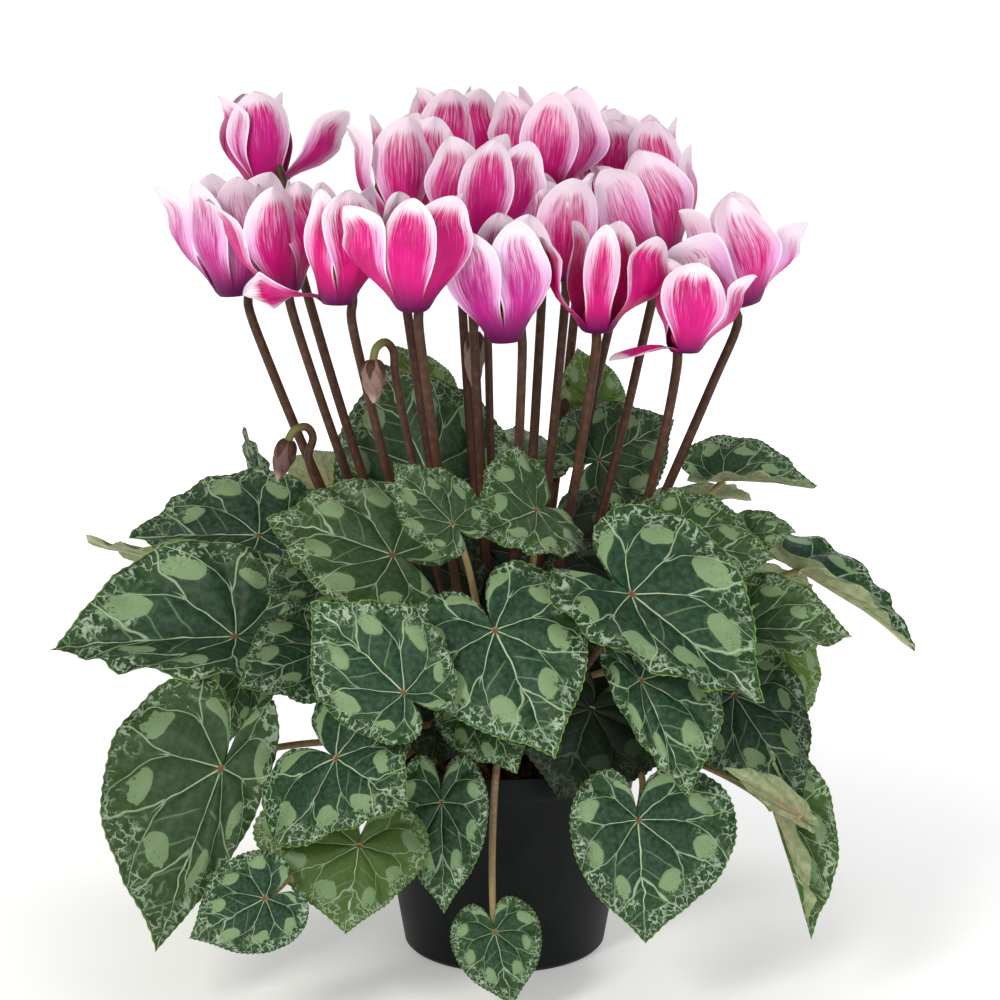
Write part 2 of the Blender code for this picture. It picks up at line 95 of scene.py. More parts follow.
def stretched(tree, around, often, along, seldom, seed):
    # a place for a pattern that is drawn out lengthwise
    place = {
        0: addNode(tree, "Math", (around, often), operation="MULTIPLY"),
        1: addNode(tree, "Math", (along, seldom), operation="MULTIPLY"), 2: seed,
    }
    return addNode(tree, "CombineXYZ", place)


def newMaterial(name, roughness, specular):
    material = bpy.data.materials.new(name)
    material.use_nodes = True
    tree = material.node_tree
    shader = tree.nodes["Principled BSDF"]
    shader.inputs["Roughness"].default_value = roughness
    shader.inputs["Specular IOR Level"].default_value = specular
    return material, tree, shader


def raised(tree, shader, height, distance, strength):
    # small relief, distance in millimetres
    bump = {"Height": height, "Distance": distance * mm, "Strength": strength}
    tree.links.new(addNode(tree, "Bump", bump), shader.inputs["Normal"])


def eased(value, low, high):
    share = max(0.0, min(1.0, (value - low) / (high - low)))
    return share * share * (3 - 2 * share)


def alongTable(table, key):
    for (before, low), (after, high) in zip(table, table[1:]):
        if key <= after:
            return low + (high - low) * (key - before) / (after - before)
    return table[-1][1]


def bezier(points, share):
    points = [Vector(point) for point in points]
    while len(points) > 1:
        points = [a.lerp(b, share) for a, b in zip(points, points[1:])]
    return points[0]


def newSheet():
    # an empty mesh in millimetres with the two maps and the vertex values that materials read
    bm = bmesh.new()
    bm.loops.layers.uv.new("plan")
    bm.loops.layers.uv.new("param")
    bm.verts.layers.float_color.new("kind")
    return bm


def drawSheet(bm, columns, rows, place, kind, second=None):
    # a grid laid out by a formula: place(column, row) gives a point and its two map places
    made = bmesh.ops.create_grid(bm, x_segments=columns, y_segments=rows, size=1)["verts"]
    wide = max(vert.co.x for vert in made)
    deep = max(vert.co.y for vert in made)
    plan, param = bm.loops.layers.uv["plan"], bm.loops.layers.uv["param"]
    layer = bm.verts.layers.float_color["kind"]
    for vert in made:
        column = round((vert.co.x / wide + 1) / 2 * columns)
        row = round((vert.co.y / deep + 1) / 2 * rows)
        vert.co, flat, share = place(column, row)
        vert[layer] = kind(column, row) if callable(kind) else kind
        for loop in vert.link_loops:
            loop[plan].uv = flat
            loop[param].uv = share
            if second and row > second:
                loop.face.material_index = 1


def drawTube(bm, route, radius, sides, kind):
    # a closed round tube along a route, carried from point to point without twisting
    scale = 20.0  # millimetres to one unit of its plan map
    ahead = (route[1] - route[0]).normalized()
    across = ahead.orthogonal().normalized()
    total = sum((b - a).length for a, b in zip(route, route[1:]))
    rings, gone = [], 0.0
    for index, middle in enumerate(route):
        if index:
            gone += (middle - route[index - 1]).length
            following = route[min(index + 1, len(route) - 1)]
            heading = (following - route[index - 1]).normalized()
            across = ahead.rotation_difference(heading) @ across
            ahead = heading
        rings.append((middle, across.copy(), ahead.cross(across), gone / total))
    rings = [rings[0]] + rings + [rings[-1]]

    def place(column, row):
        middle, across, side, share = rings[row]
        angle = 2 * math.pi * column / sides
        size = 0.0 if row in (0, len(rings) - 1) else radius(share, angle)
        point = middle + (across * math.cos(angle) + side * math.sin(angle)) * size
        flat = (column / sides * 6 * size / scale, share * total / scale)
        return point, flat, (column / sides, share)

    drawSheet(bm, sides, len(rings) - 1, place, kind)


def faceOutward(bm):
    # turns each closed shell of a mesh so that its faces look outward
    bmesh.ops.recalc_face_normals(bm, faces=bm.faces)
    seen = set()
    for first in bm.faces:
        if first in seen:
            continue
        seen.add(first)
        shell = [first]
        volume = 0.0
        for face in shell:
            corners = [vert.co for vert in face.verts]
            for one, two in zip(corners[1:], corners[2:]):
                volume += corners[0].dot(one.cross(two))
            for edge in face.edges:
                for other in edge.link_faces:
                    if other not in seen:
                        seen.add(other)
                        shell.append(other)
        if volume < 0:
            bmesh.ops.reverse_faces(bm, faces=shell)


def makePiece(name, bm, materials, node=None, sharp=70):
    # closes the seams of a mesh in millimetres and makes it a piece that rides on the plant
    bmesh.ops.remove_doubles(bm, verts=bm.verts, dist=0.002)
    bmesh.ops.dissolve_degenerate(bm, edges=bm.edges, dist=0.0005)
    faceOutward(bm)
    bmesh.ops.scale(bm, vec=(mm, mm, mm), verts=bm.verts)
    mesh = bpy.data.meshes.new(name)
    bm.to_mesh(mesh)
    bm.free()
    mesh.shade_smooth()
    mesh.set_sharp_from_angle(angle=math.radians(sharp))
    for material in materials:
        mesh.materials.append(material)
    piece = bpy.data.objects.new(name, mesh)
    bpy.context.scene.collection.objects.link(piece)
    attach(piece, "root")
    if node:
        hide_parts(node)
    return piece


def footOf(node):
    # where this node's stalk stands: the middle of its lowest ring on the tuber
    points = [vert.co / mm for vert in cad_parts[node].data.vertices]
    near = [point for point in points if point.xy.length < 36]
    low = min(point.z for point in near)
    ring = [point for point in near if point.z < low + 0.05]
    return sum(ring, Vector()) / len(ring)


# Leaves. eye and tip: the blade's two ends, in millimetres. face: the way its upper side looks.
# wide: width factor. sides: one for each half. lobes: length of the lobes.
# fold: how far the left and right halves are raised, and arch: how far it bends, degrees.
# back, under: how far the stalk's last stretch comes from behind and from beneath the eye.
# rise: how steeply it sets off from the crown. over: a place it bends toward.
# fresh: how yellow-green it is. paintedShade: painted shade, how much darker a leaf that lies in shade
# is painted.
leaves = {
    "leaf_01": dict(
        eye=(-114, -30, 146), tip=(-194, -30, 141), face=(0, -0.61, 0.79),
        fold=(28, 28), rise=0.35, sides=(0.85, 1.0), lobes=0.85,
    ),
    "leaf_02": dict(
        eye=(-108, 24, 178), tip=(-166, 28, 176), face=(0, -0.5, 0.85),
        fold=(20, 20), back=4, under=24, rise=0.15,
    ),
    "leaf_03": dict(eye=(-138, 60, 150), tip=(-190, 64, 168), face=(0, 0.4, 0.9)),
    "leaf_04": dict(eye=(-110, 66, 196), tip=(-118, 70, 218), face=(-0.9, -0.2, 0.3)),
    "leaf_05": dict(
        eye=(-46, -62, 189), tip=(-99, -52, 204), face=(-0.2, -0.6, 0.75), fold=(8, 8), paintedShade=0.15,
    ),
    "leaf_06": dict(
        eye=(-40, -118, 146), tip=(-78, -100, 179), face=(-0.1, -0.8, 0.6), rise=0.7,
        lobes=0.72, sides=(0.95, 1.0),
    ),
    "leaf_07": dict(eye=(-73, -60, 149), tip=(-110, -82, 138), face=(-0.2, -0.7, 0.65), paintedShade=0.25),
    "leaf_08": dict(
        eye=(-112, -14, 128), tip=(-122, -14, 92), face=(0.2, -0.9, 0.1), rise=0.25, wide=0.75,
    ),
    "leaf_09": dict(
        eye=(-116, -82, 104), tip=(-142, -108, 34), face=(-0.1, -0.93, 0.3),
        sides=(0.42, 1.0), paintedShade=0.3,
    ),
    "leaf_10": dict(
        eye=(-68, -104, 115), tip=(-38, -134, 104), face=(-0.5, -0.65, 0.55),
        wide=1.15, rise=0.45, lobes=1.55, sides=(1.1, 0.95),
    ),
    "leaf_11": dict(
        eye=(-59, -104, 78), tip=(-64, -120, 46), face=(0, -0.93, 0.35),
        wide=1.3, rise=0.4, fresh=0.6, paintedShade=0.3, lobes=1.3, sides=(0.8, 1.25),
    ),
    "leaf_12": dict(eye=(-96, -122, 62), tip=(-126, -130, 48), face=(0, -0.9, 0.4), rise=0.45),
    "leaf_13": dict(
        eye=(-21, -92, 209), tip=(-45, -78, 231), face=(0.1, -0.85, 0.5), wide=0.85,
        lobes=0.8, paintedShade=0.3,
    ),
    "leaf_14": dict(
        eye=(13, -58, 207), tip=(-12, -90, 203), face=(0.2, -0.7, 0.7), fold=(0, 30),
        wide=1.1, sides=(0.9, 1.1),
    ),
    "leaf_15": dict(eye=(-4, -96, 166), tip=(20, -124, 121), face=(0, -0.9, 0.45)),
    "leaf_16": dict(eye=(-10, -75, 128), tip=(5, -93, 105), face=(0.1, -0.8, 0.6)),
    "leaf_17": dict(
        eye=(-26, -84, 90), tip=(-25, -96, 46), face=(-0.1, -0.95, 0.3), rise=0.3, wide=0.7,
    ),
    "leaf_18": dict(
        eye=(51, -84, 178), tip=(103, -104, 137), face=(0.1, -0.65, 0.75),
        fold=(20, 20), rise=0.35, sides=(1.0, 0.86),
    ),
    "leaf_19": dict(eye=(58, -69, 191), tip=(44, -59, 212), face=(-0.1, -0.75, 0.65), under=24),
    "leaf_20": dict(eye=(72, -39, 189), tip=(113, -39, 182), face=(0.1, -0.7, 0.7), wide=1.15),
    "leaf_21": dict(eye=(95, 10, 206), tip=(136, 14, 202), face=(0, 0.05, 1), fold=(58, 20)),
    "leaf_22": dict(eye=(101, -14, 187), tip=(124, -20, 190), face=(0.1, -0.6, 0.8)),
    "leaf_23": dict(
        eye=(128, 8, 166), tip=(179, -2, 133), face=(0.3, -0.35, 0.88),
        fold=(8, 78), wide=0.75, sides=(1.0, 0.42),
    ),
    "leaf_24": dict(eye=(99, -42, 153), tip=(145, -54, 153), face=(0.1, -0.55, 0.83), fold=(20, 20)),
    "leaf_25": dict(
        eye=(55, -88, 143), tip=(75, -112, 101), face=(0.25, -0.85, 0.45), rise=0.5,
        sides=(1.05, 0.42),
    ),
    "leaf_26": dict(
        eye=(36, -64, 124), tip=(22, -80, 90), face=(0.1, -0.92, 0.4), wide=1.5, paintedShade=1.0,
    ),
    "leaf_27": dict(
        eye=(54, -98, 87), tip=(57, -112, 39), face=(0.05, -0.95, 0.3), sides=(1.35, 0.92),
        over=(74, -60, 120), back=4,
    ),
    "leaf_28": dict(
        eye=(95, -64, 130), tip=(122, -84, 90), face=(0.35, -0.88, 0.3), wide=0.92, paintedShade=0.5,
    ),
    "leaf_29": dict(
        eye=(110, -80, 86), tip=(126, -94, 34), face=(0.2, -0.93, 0.3), rise=0.35,
        fold=(8, 112), sides=(0.75, 0.5), fresh=0.3,
    ),
    "leaf_30": dict(
        eye=(-35, 42, 204), tip=(-56, 62, 249), face=(0.1, -0.85, 0.5), paintedShade=0.2, wide=1.25,
    ),
    "leaf_31": dict(
        eye=(42, 48, 207), tip=(76, 56, 224), face=(0, -0.7, 0.7), wide=1.3, rise=0.15, paintedShade=0.2,
    ),
    "leaf_32": dict(eye=(-88, 92, 145), tip=(-134, 122, 118), face=(-0.3, 0.4, 0.85)),
    "leaf_33": dict(eye=(-40, 100, 165), tip=(-62, 156, 135), face=(-0.2, 0.6, 0.75)),
    "leaf_34": dict(eye=(40, 100, 160), tip=(66, 152, 130), face=(0.2, 0.6, 0.75)),
    "leaf_35": dict(eye=(95, 75, 152), tip=(146, 98, 125), face=(0.3, 0.5, 0.8)),
    "leaf_36": dict(eye=(2, 104, 110), tip=(6, 132, 62), face=(0, 0.9, 0.4)),
}

# Smaller leaves that only fill the plant out, those deep in the crown painted dark as shade, and the
# ring on the crown where they stand.
moreLeaves = {
    "small_01": dict(
        eye=(116, -40, 147), tip=(124, -52, 109), face=(0.35, -0.85, 0.3), fresh=0.8, wide=0.7,
    ),
    "small_02": dict(
        eye=(120, -98, 88), tip=(88, -100, 110), face=(-0.2, 0.9, 0.3), wide=0.4, sides=(1, 0.6),
        lobes=0.5, arch=40, back=2, under=-6, over=(64, -42, 118),
    ),
    "small_03": dict(eye=(-36, 80, 228), tip=(-50, 84, 253), face=(0.1, -0.9, 0.5), fresh=0.9),
    "small_04": dict(eye=(40, 80, 227), tip=(33, 84, 252), face=(0, -0.9, 0.5), fresh=0.9),
    "small_05": dict(eye=(-78, 52, 194), tip=(-99, 60, 206), face=(0.1, 0.9, -0.4), fresh=0.3),
    "small_06": dict(eye=(-73, -42, 176), tip=(-101, -52, 170), face=(-0.1, -0.8, 0.6), paintedShade=0.5),
    "small_07": dict(eye=(-4, -90, 36), tip=(3, -102, 8), face=(0, -0.9, 0.4), over=(-4, -98, 160)),
    "small_08": dict(eye=(60, 6, 176), tip=(86, 14, 190), face=(0, -0.6, 0.8), paintedShade=0.4),
    "small_09": dict(eye=(-62, 20, 176), tip=(-88, 28, 190), face=(-0.1, -0.6, 0.8), paintedShade=0.4),
    "small_10": dict(eye=(10, 60, 205), tip=(4, 92, 214), face=(0, 0.4, 0.9), fresh=0.2),
    "small_11": dict(eye=(70, 50, 190), tip=(112, 66, 186), face=(0.2, 0.5, 0.85)),
    "small_12": dict(eye=(-60, 78, 190), tip=(-96, 104, 182), face=(-0.2, 0.6, 0.8)),
    "small_13": dict(eye=(4, 84, 172), tip=(0, 134, 158), face=(0, 0.6, 0.8)),
    "small_14": dict(eye=(-30, 78, 120), tip=(-44, 112, 84), face=(-0.3, 0.85, 0.4), paintedShade=0.2),
    "small_15": dict(eye=(36, 80, 118), tip=(48, 116, 80), face=(0.3, 0.85, 0.4), paintedShade=0.2),
    "small_16": dict(eye=(18, 66, 142), tip=(14, 104, 128), face=(0, 0.7, 0.7), paintedShade=0.2),
    "small_17": dict(eye=(62, 70, 140), tip=(92, 100, 128), face=(0.4, 0.6, 0.7)),
    "small_18": dict(eye=(-66, 66, 138), tip=(-98, 92, 126), face=(-0.4, 0.6, 0.7)),
    "small_19": dict(eye=(-38, 0, 172), tip=(-52, -22, 128), face=(-0.1, -0.8, 0.6), paintedShade=0.9),
    "small_20": dict(eye=(-8, 6, 176), tip=(-14, -18, 130), face=(0, -0.8, 0.6), paintedShade=0.9),
    "small_21": dict(eye=(22, 20, 178), tip=(26, -4, 132), face=(0, -0.8, 0.6), paintedShade=0.9),
    "small_22": dict(eye=(48, -10, 166), tip=(60, -32, 122), face=(0.1, -0.8, 0.6), paintedShade=0.9),
    "small_23": dict(eye=(-24, -30, 134), tip=(-32, -52, 92), face=(0, -0.8, 0.6), paintedShade=1.0),
    "small_24": dict(eye=(28, -30, 130), tip=(34, -52, 90), face=(0, -0.8, 0.6), paintedShade=1.0),
    "small_25": dict(eye=(-12, 26, 150), tip=(-14, 4, 106), face=(0, -0.8, 0.6), paintedShade=1.0),
    "small_26": dict(eye=(-66, 6, 148), tip=(-84, -14, 118), face=(-0.3, -0.8, 0.6), paintedShade=0.9),
    "small_27": dict(eye=(-92, 36, 158), tip=(-134, 52, 140), face=(-0.45, 0.55, 0.7)),
    "small_28": dict(eye=(-86, 16, 152), tip=(-120, 36, 132), face=(-0.5, 0.5, 0.7)),
}
moreFeet = {"radius": 31, "height": 80.8, "turned": 0.12}  # turned past the blade's own direction

bladeShape = {
    # degrees from the midrib, then how far the margin is from the eye as a share of the length
    "margin": (
        (0, 1.0), (4, 0.93), (9, 0.86), (16, 0.80), (26, 0.75), (40, 0.70), (56, 0.65),
        (76, 0.615), (98, 0.6), (120, 0.58), (140, 0.54), (156, 0.47), (166, 0.36), (173, 0.2),
        (180, 0.05),
    ),
    "veins": ((0, 0), (42, 1), (88, 2), (138, 3), (180, 3.7)),  # degrees, vein number
    "rings": (0, 0.08, 0.18, 0.3, 0.42, 0.54, 0.64, 0.73, 0.81, 0.88, 0.94, 0.98, 1.0),
    "spokes": 72,  # on each side of the midrib
    "tooth": 0.6,
    "thick": 0.6,
    "groove": 0.55,  # how deep the main veins lie
    "usual": 60,  # length of the leaf that the next three hold for
    "pucker": 2.2,  # how high the blade swells between its veins
    "wave": 1.7,  # how far the margin goes up and down
    "swell": 4.5,  # wide unevenness
    "bumps": 1.1,  # fine unevenness
    "droop": 0.12,  # how much a wide half sinks
    "crease": 6,  # square millimetres over which the midrib's fold is rounded
    "turning": 3,  # millimetres beside the midrib where the thickness turns with the fold
}

stalkShape = {
    "radius": 1.35,
    "gain": 0.35,  # how much thicker it gets on its way down, and again at its foot
    "collar": 0.3,  # and where it meets the blade
    "steps": 26,  # along its route
    "sides": 10,
    "below": 0.5,  # how far under the eye it starts
}
footDepth = 1.5  # how deep stalks and stems stand in the tuber


def marginAngles(count):
    # degrees from the midrib that divide one side's margin into equal steps
    fine = [quarter / 4 for quarter in range(721)]
    points = []
    for degrees in fine:
        reach = alongTable(bladeShape["margin"], degrees)
        angle = math.radians(degrees)
        points.append(Vector((reach * math.cos(angle), reach * math.sin(angle))))
    gone = [0.0]
    for before, after in zip(points, points[1:]):
        gone.append(gone[-1] + (after - before).length)
    table = list(zip(gone, fine))
    return [alongTable(table, gone[-1] * index / count) for index in range(count + 1)]


spokeAngles = marginAngles(bladeShape["spokes"])


def leafAxes(leaf):
    eye, tip = Vector(leaf["eye"]), Vector(leaf["tip"])
    forward = (tip - eye).normalized()
    face = Vector(leaf["face"])
    up = (face - forward * face.dot(forward)).normalized()
    return eye, (tip - eye).length, forward, up.cross(forward), up


def bladePoint(leaf, length, along, across, height):
    # bends a point of the flat blade: folded along the midrib, then arched from eye to tip
    fold = math.radians(leaf.get("fold", (0, 0))[0 if across > 0 else 1])
    arch = math.radians(leaf.get("arch", 14))
    crease = bladeShape["crease"]
    side = math.sqrt(across * across + crease) - math.sqrt(crease)
    turned = max(-1, min(1, across / bladeShape["turning"]))
    upright = 1 + (math.cos(fold) - 1) * abs(turned)
    droop = bladeShape["droop"] * across * across / length
    lift = side * math.sin(fold) - droop + height * upright
    across = across * math.cos(fold) - height * math.sin(fold) * turned
    slope = arch * (0.5 - along / length) if along > 0 else arch * 0.5
    middle = (arch * 0.5 + slope) / 2
    run, rise = along * math.cos(middle), along * math.sin(middle)
    return run - lift * math.sin(slope), across, rise + lift * math.cos(slope)


def makeBlade(name, leaf, number, materials, node=None):
    eye, length, forward, left, up = leafAxes(leaf)
    random.seed(number)
    rings = bladeShape["rings"]
    last = len(rings) - 1
    half = bladeShape["spokes"]
    size = length / bladeShape["usual"]
    phase = random.uniform(0, 6)
    turns = random.uniform(1.0, 1.5)
    chance = random.random()
    fresh = leaf.get("fresh", 0) * 0.8 + random.uniform(0, 0.2)
    # the third value is painted shade: how much darker the leaf is painted where it lies in shade
    kind = (chance, fresh, leaf.get("paintedShade", 0), 1)

    def place(column, row):
        below = row > last
        ring = 2 * last - row if below else row
        column -= half
        degrees = spokeAngles[abs(column)]
        share = rings[ring]
        sign = -1 if column < 0 else 1
        reach = alongTable(bladeShape["margin"], degrees) * length
        reach *= 1 + (leaf.get("lobes", 1) - 1) * eased(degrees, 40, 110)
        if ring == last and column % 2:
            reach -= min(bladeShape["tooth"] * (0.6 + 0.4 * size), reach * 0.06)
        angle = math.radians(degrees) * sign
        x = reach * share * math.cos(angle)
        y = reach * share * math.sin(angle) * leaf.get("wide", 1.0)
        y *= leaf.get("sides", (1, 1))[0 if column > 0 else 1]
        vein = alongTable(bladeShape["veins"], degrees)
        vein += 0.3 * share * share * eased(vein, 0.2, 0.9)
        aside = abs(vein - round(vein))
        gap = aside * share * length * 0.5
        height = -bladeShape["groove"] * math.exp(-gap * gap) * min(1, share * 5)
        height += bladeShape["pucker"] * size * math.sin(math.pi * aside) * 2.2 * share * (1.12 - share)
        bumps = noise.noise(Vector((x * 0.13, y * 0.13, number * 7.7)))
        height += bumps * bladeShape["bumps"] * share
        swell = noise.noise(Vector((x * 0.035, y * 0.035, number * 3.3)))
        height += swell * bladeShape["swell"] * size * share * share
        wave = math.sin(turns * 6.28 * vein + phase * sign) * min(1, (180 - degrees) / 12)
        height += bladeShape["wave"] * size * wave * share**4
        if below:
            height -= bladeShape["thick"] * min(1, (1 - share) * 14)
        run, across, rise = bladePoint(leaf, length, x, y, height)
        point = eye + forward * run + left * across + up * rise
        return point, (x / length + 10 * number, y / length), (vein * sign, share)

    bm = newSheet()
    drawSheet(bm, 2 * half, 2 * last, place, kind, second=last)
    makePiece(name, bm, materials, node)


def makeStalk(name, leaf, number, foot, material, node=None):
    eye, _, forward, _, up = leafAxes(leaf)
    random.seed(number + 500)
    start = eye - up * stalkShape["below"]
    root = foot - Vector((0, 0, footDepth))
    span = (eye - foot).length
    back, under = leaf.get("back", 14), leaf.get("under", 14)
    rise = leaf.get("rise", 0.5 - 0.3 * min(1, eye.xy.length / 120))
    lift = Vector(leaf["over"]) if "over" in leaf else foot + Vector((0, 0, rise * span))
    curve = [start, start - forward * back - up * under, lift, root]
    steps, gain = stalkShape["steps"], stalkShape["gain"]
    route = [bezier(curve, (index / steps) ** 1.15) for index in range(steps + 1)]

    def radius(share, angle):
        size = stalkShape["radius"] + gain * share + gain * eased(share, 0.9, 1.0)
        return size + stalkShape["collar"] * eased(share, 0.03, 0.0)

    # the third value carries the leaf's painted shade, which the stalk's material does not read
    kind = (random.random(), leaf.get("fresh", 0), leaf.get("paintedShade", 0), 1)
    bm = newSheet()
    drawTube(bm, route, radius, stalkShape["sides"], kind)
    makePiece(name, bm, [material], node)


def leafMaterial():
    # upper side of a florist's cyclamen leaf: dark green, silver-green patches, pale veins
    material, tree, shader = newMaterial("leaf_upper_side", 0.52, 0.22)
    plan, param, tint = readMaps(tree)
    wobble = addNode(tree, "TexNoise", {"Vector": plan, "Scale": 6.0, "Detail": 1}, 1)
    wobble = addNode(tree, "VectorMath", {0: wobble, 1: (0.5, 0.5, 0.5)}, operation="SUBTRACT")
    shifted = {0: wobble, 1: (0.22, 0.10, 0.0), 2: param}
    bent = addNode(tree, "VectorMath", shifted, operation="MULTIPLY_ADD")
    vein, share, _ = addNode(tree, "SeparateXYZ", (bent,), None)
    straight, trueShare, _ = addNode(tree, "SeparateXYZ", (param,), None)
    aside = addNode(tree, "Math", (vein, 0.5), operation="PINGPONG")
    gap = addNode(tree, "Math", (aside, share), operation="MULTIPLY")

    # main veins, which end in a fork except for the midrib
    number = addNode(tree, "Math", (vein,), operation="ABSOLUTE")
    isMidrib = addNode(tree, "MapRange", (number, 0.6, 0.4), interpolation_type="SMOOTHSTEP")
    beforeFork = addNode(tree, "MapRange", (share, 0.62, 0.5), interpolation_type="SMOOTHSTEP")
    shown = addNode(tree, "Math", (isMidrib, beforeFork), operation="MAXIMUM")
    width = addNode(tree, "Math", (trueShare, -0.009, 0.015), operation="MULTIPLY_ADD")
    core = addNode(tree, "Math", (width, 0.35), operation="MULTIPLY")
    mains = addNode(
        tree, "Math",
        (addNode(tree, "MapRange", (gap, width, core), interpolation_type="SMOOTHSTEP"), shown),
        operation="MULTIPLY",
    )

    # the forks, and fainter side veins
    branch = addNode(
        tree, "Math",
        (addNode(tree, "Math", (share, 0.46), operation="SUBTRACT"), 0.0), operation="MAXIMUM",
    )
    off = addNode(
        tree, "Math",
        (aside, addNode(tree, "Math", (branch, 0.85), operation="MULTIPLY")), operation="SUBTRACT",
    )
    off = addNode(tree, "Math", (off,), operation="ABSOLUTE")
    fork = addNode(
        tree, "MapRange",
        (addNode(tree, "Math", (off, share), operation="MULTIPLY"), 0.016, 0.004),
        interpolation_type="SMOOTHSTEP",
    )
    fork = addNode(
        tree, "Math",
        (fork, addNode(tree, "MapRange", (share, 0.46, 0.49), interpolation_type="SMOOTHSTEP")),
        operation="MULTIPLY",
    )
    shifted = {0: wobble, 1: (0.05, 0.05, 0.0), 2: plan}
    bent = addNode(tree, "VectorMath", shifted, operation="MULTIPLY_ADD")
    flatX, flatY, _ = addNode(tree, "SeparateXYZ", (bent,), None)
    flatX = addNode(
        tree, "Math",
        (addNode(tree, "Math", (flatX, 2.0), operation="ADD"), 10.0), operation="FLOORED_MODULO",
    )
    beside = addNode(tree, "Math", (flatY,), operation="ABSOLUTE")
    row = addNode(tree, "Math", (beside, -0.72, flatX), operation="MULTIPLY_ADD")
    twig = addNode(
        tree, "MapRange",
        (addNode(tree, "Math", (row, 0.085), operation="PINGPONG"), 0.01, 0.003),
        interpolation_type="SMOOTHSTEP",
    )
    twig = addNode(
        tree, "Math",
        (twig, addNode(tree, "MapRange", (number, 0.92, 0.75), interpolation_type="SMOOTHSTEP")),
        operation="MULTIPLY",
    )
    twig = addNode(
        tree, "Math",
        (twig, addNode(tree, "MapRange", (share, 0.22, 0.32), interpolation_type="SMOOTHSTEP")),
        operation="MULTIPLY",
    )

    # one solid patch between each pair of main veins
    cell = addNode(
        tree, "CombineXYZ",
        {0: addNode(tree, "Math", (straight,), operation="FLOOR"), 1: tint[0]},
    )
    chance = addNode(tree, "TexWhiteNoise", {"Vector": cell}, noise_dimensions="3D")
    blur = addNode(tree, "TexNoise", {"Vector": plan, "Scale": 16.0, "Detail": 3})
    middle = addNode(tree, "Math", (chance, 0.1, 0.66), operation="MULTIPLY_ADD")
    tall = addNode(tree, "Math", (chance, 0.05, 0.09), operation="MULTIPLY_ADD")
    upward = addNode(
        tree, "Math",
        (addNode(tree, "Math", (share, middle), operation="SUBTRACT"), tall), operation="DIVIDE",
    )
    sideways = addNode(
        tree, "Math",
        (addNode(tree, "Math", (aside, 0.5), operation="SUBTRACT"), 0.26), operation="DIVIDE",
    )
    squares = []
    for way in (upward, sideways):
        size = addNode(tree, "Math", (way,), operation="ABSOLUTE")
        squares.append(addNode(tree, "Math", (size, 2.0), operation="POWER"))
    inside = addNode(tree, "Math", squares, operation="ADD")
    ragged = addNode(tree, "MapRange", (upward, -0.4, 0.7), interpolation_type="SMOOTHSTEP")
    uneven = addNode(tree, "Math", (ragged, 3.0, 0.6), operation="MULTIPLY_ADD")
    uneven = addNode(
        tree, "Math",
        (addNode(tree, "Math", (blur, 0.5), operation="SUBTRACT"), uneven), operation="MULTIPLY",
    )
    patch = addNode(
        tree, "MapRange",
        (addNode(tree, "Math", (inside, uneven), operation="ADD"), 1.08, 0.92),
        interpolation_type="SMOOTHSTEP",
    )
    speck = addNode(
        tree, "MapRange",
        (addNode(tree, "TexNoise", {"Vector": plan, "Scale": 60.0}), 0.6, 0.68),
        interpolation_type="SMOOTHSTEP",
    )
    speck = addNode(
        tree, "Math",
        (addNode(tree, "Math", (speck, ragged), operation="MULTIPLY"), -0.8, 1.0),
        operation="MULTIPLY_ADD",
    )
    patch = addNode(tree, "Math", (patch, speck), operation="MULTIPLY")

    # a lacy pale net toward the margin
    netPlace = {
        0: addNode(tree, "TexNoise", {"Vector": plan, "Scale": 24.0}, 1), 1: (0.07, 0.07, 0.0),
        2: plan,
    }
    netPlace = addNode(tree, "VectorMath", netPlace, operation="MULTIPLY_ADD")
    net = addNode(tree, "TexVoronoi", {"Vector": netPlace, "Scale": 13.0}, feature="DISTANCE_TO_EDGE")
    broken = addNode(
        tree, "MapRange",
        (addNode(tree, "TexNoise", {"Vector": plan, "Scale": 13.0}), 0.36, 0.5),
        interpolation_type="SMOOTHSTEP",
    )
    lines = addNode(
        tree, "Math",
        (addNode(tree, "MapRange", (net, 0.075, 0.015), interpolation_type="SMOOTHSTEP"), broken),
        operation="MULTIPLY",
    )
    marble = addNode(
        tree, "MapRange",
        (
            addNode(
                tree, "TexNoise",
                {"Vector": netPlace, "Scale": 22.0, "Detail": 3, "Roughness": 0.7},
            ),
            0.55, 0.62,
        ),
        interpolation_type="SMOOTHSTEP",
    )
    lacy = addNode(
        tree, "Math",
        (lines, addNode(tree, "Math", (marble, 0.8), operation="MULTIPLY")), operation="MAXIMUM",
    )
    patchy = addNode(tree, "TexNoise", {"Vector": plan, "Scale": 5.0})
    outside = addNode(
        tree, "MapRange",
        (addNode(tree, "Math", (patchy, 0.8, share), operation="MULTIPLY_ADD"), 1.12, 1.3),
        interpolation_type="SMOOTHSTEP",
    )
    band = addNode(
        tree, "Math",
        (
            outside,
            addNode(tree, "MapRange", (trueShare, 0.985, 0.955), interpolation_type="SMOOTHSTEP"),
        ),
        operation="MULTIPLY",
    )
    lacy = addNode(tree, "Math", (lacy, band), operation="MULTIPLY")

    mottle = addNode(
        tree, "TexNoise",
        {"Vector": plan, "Scale": 24.0, "Detail": 3, "Roughness": 0.6},
    )
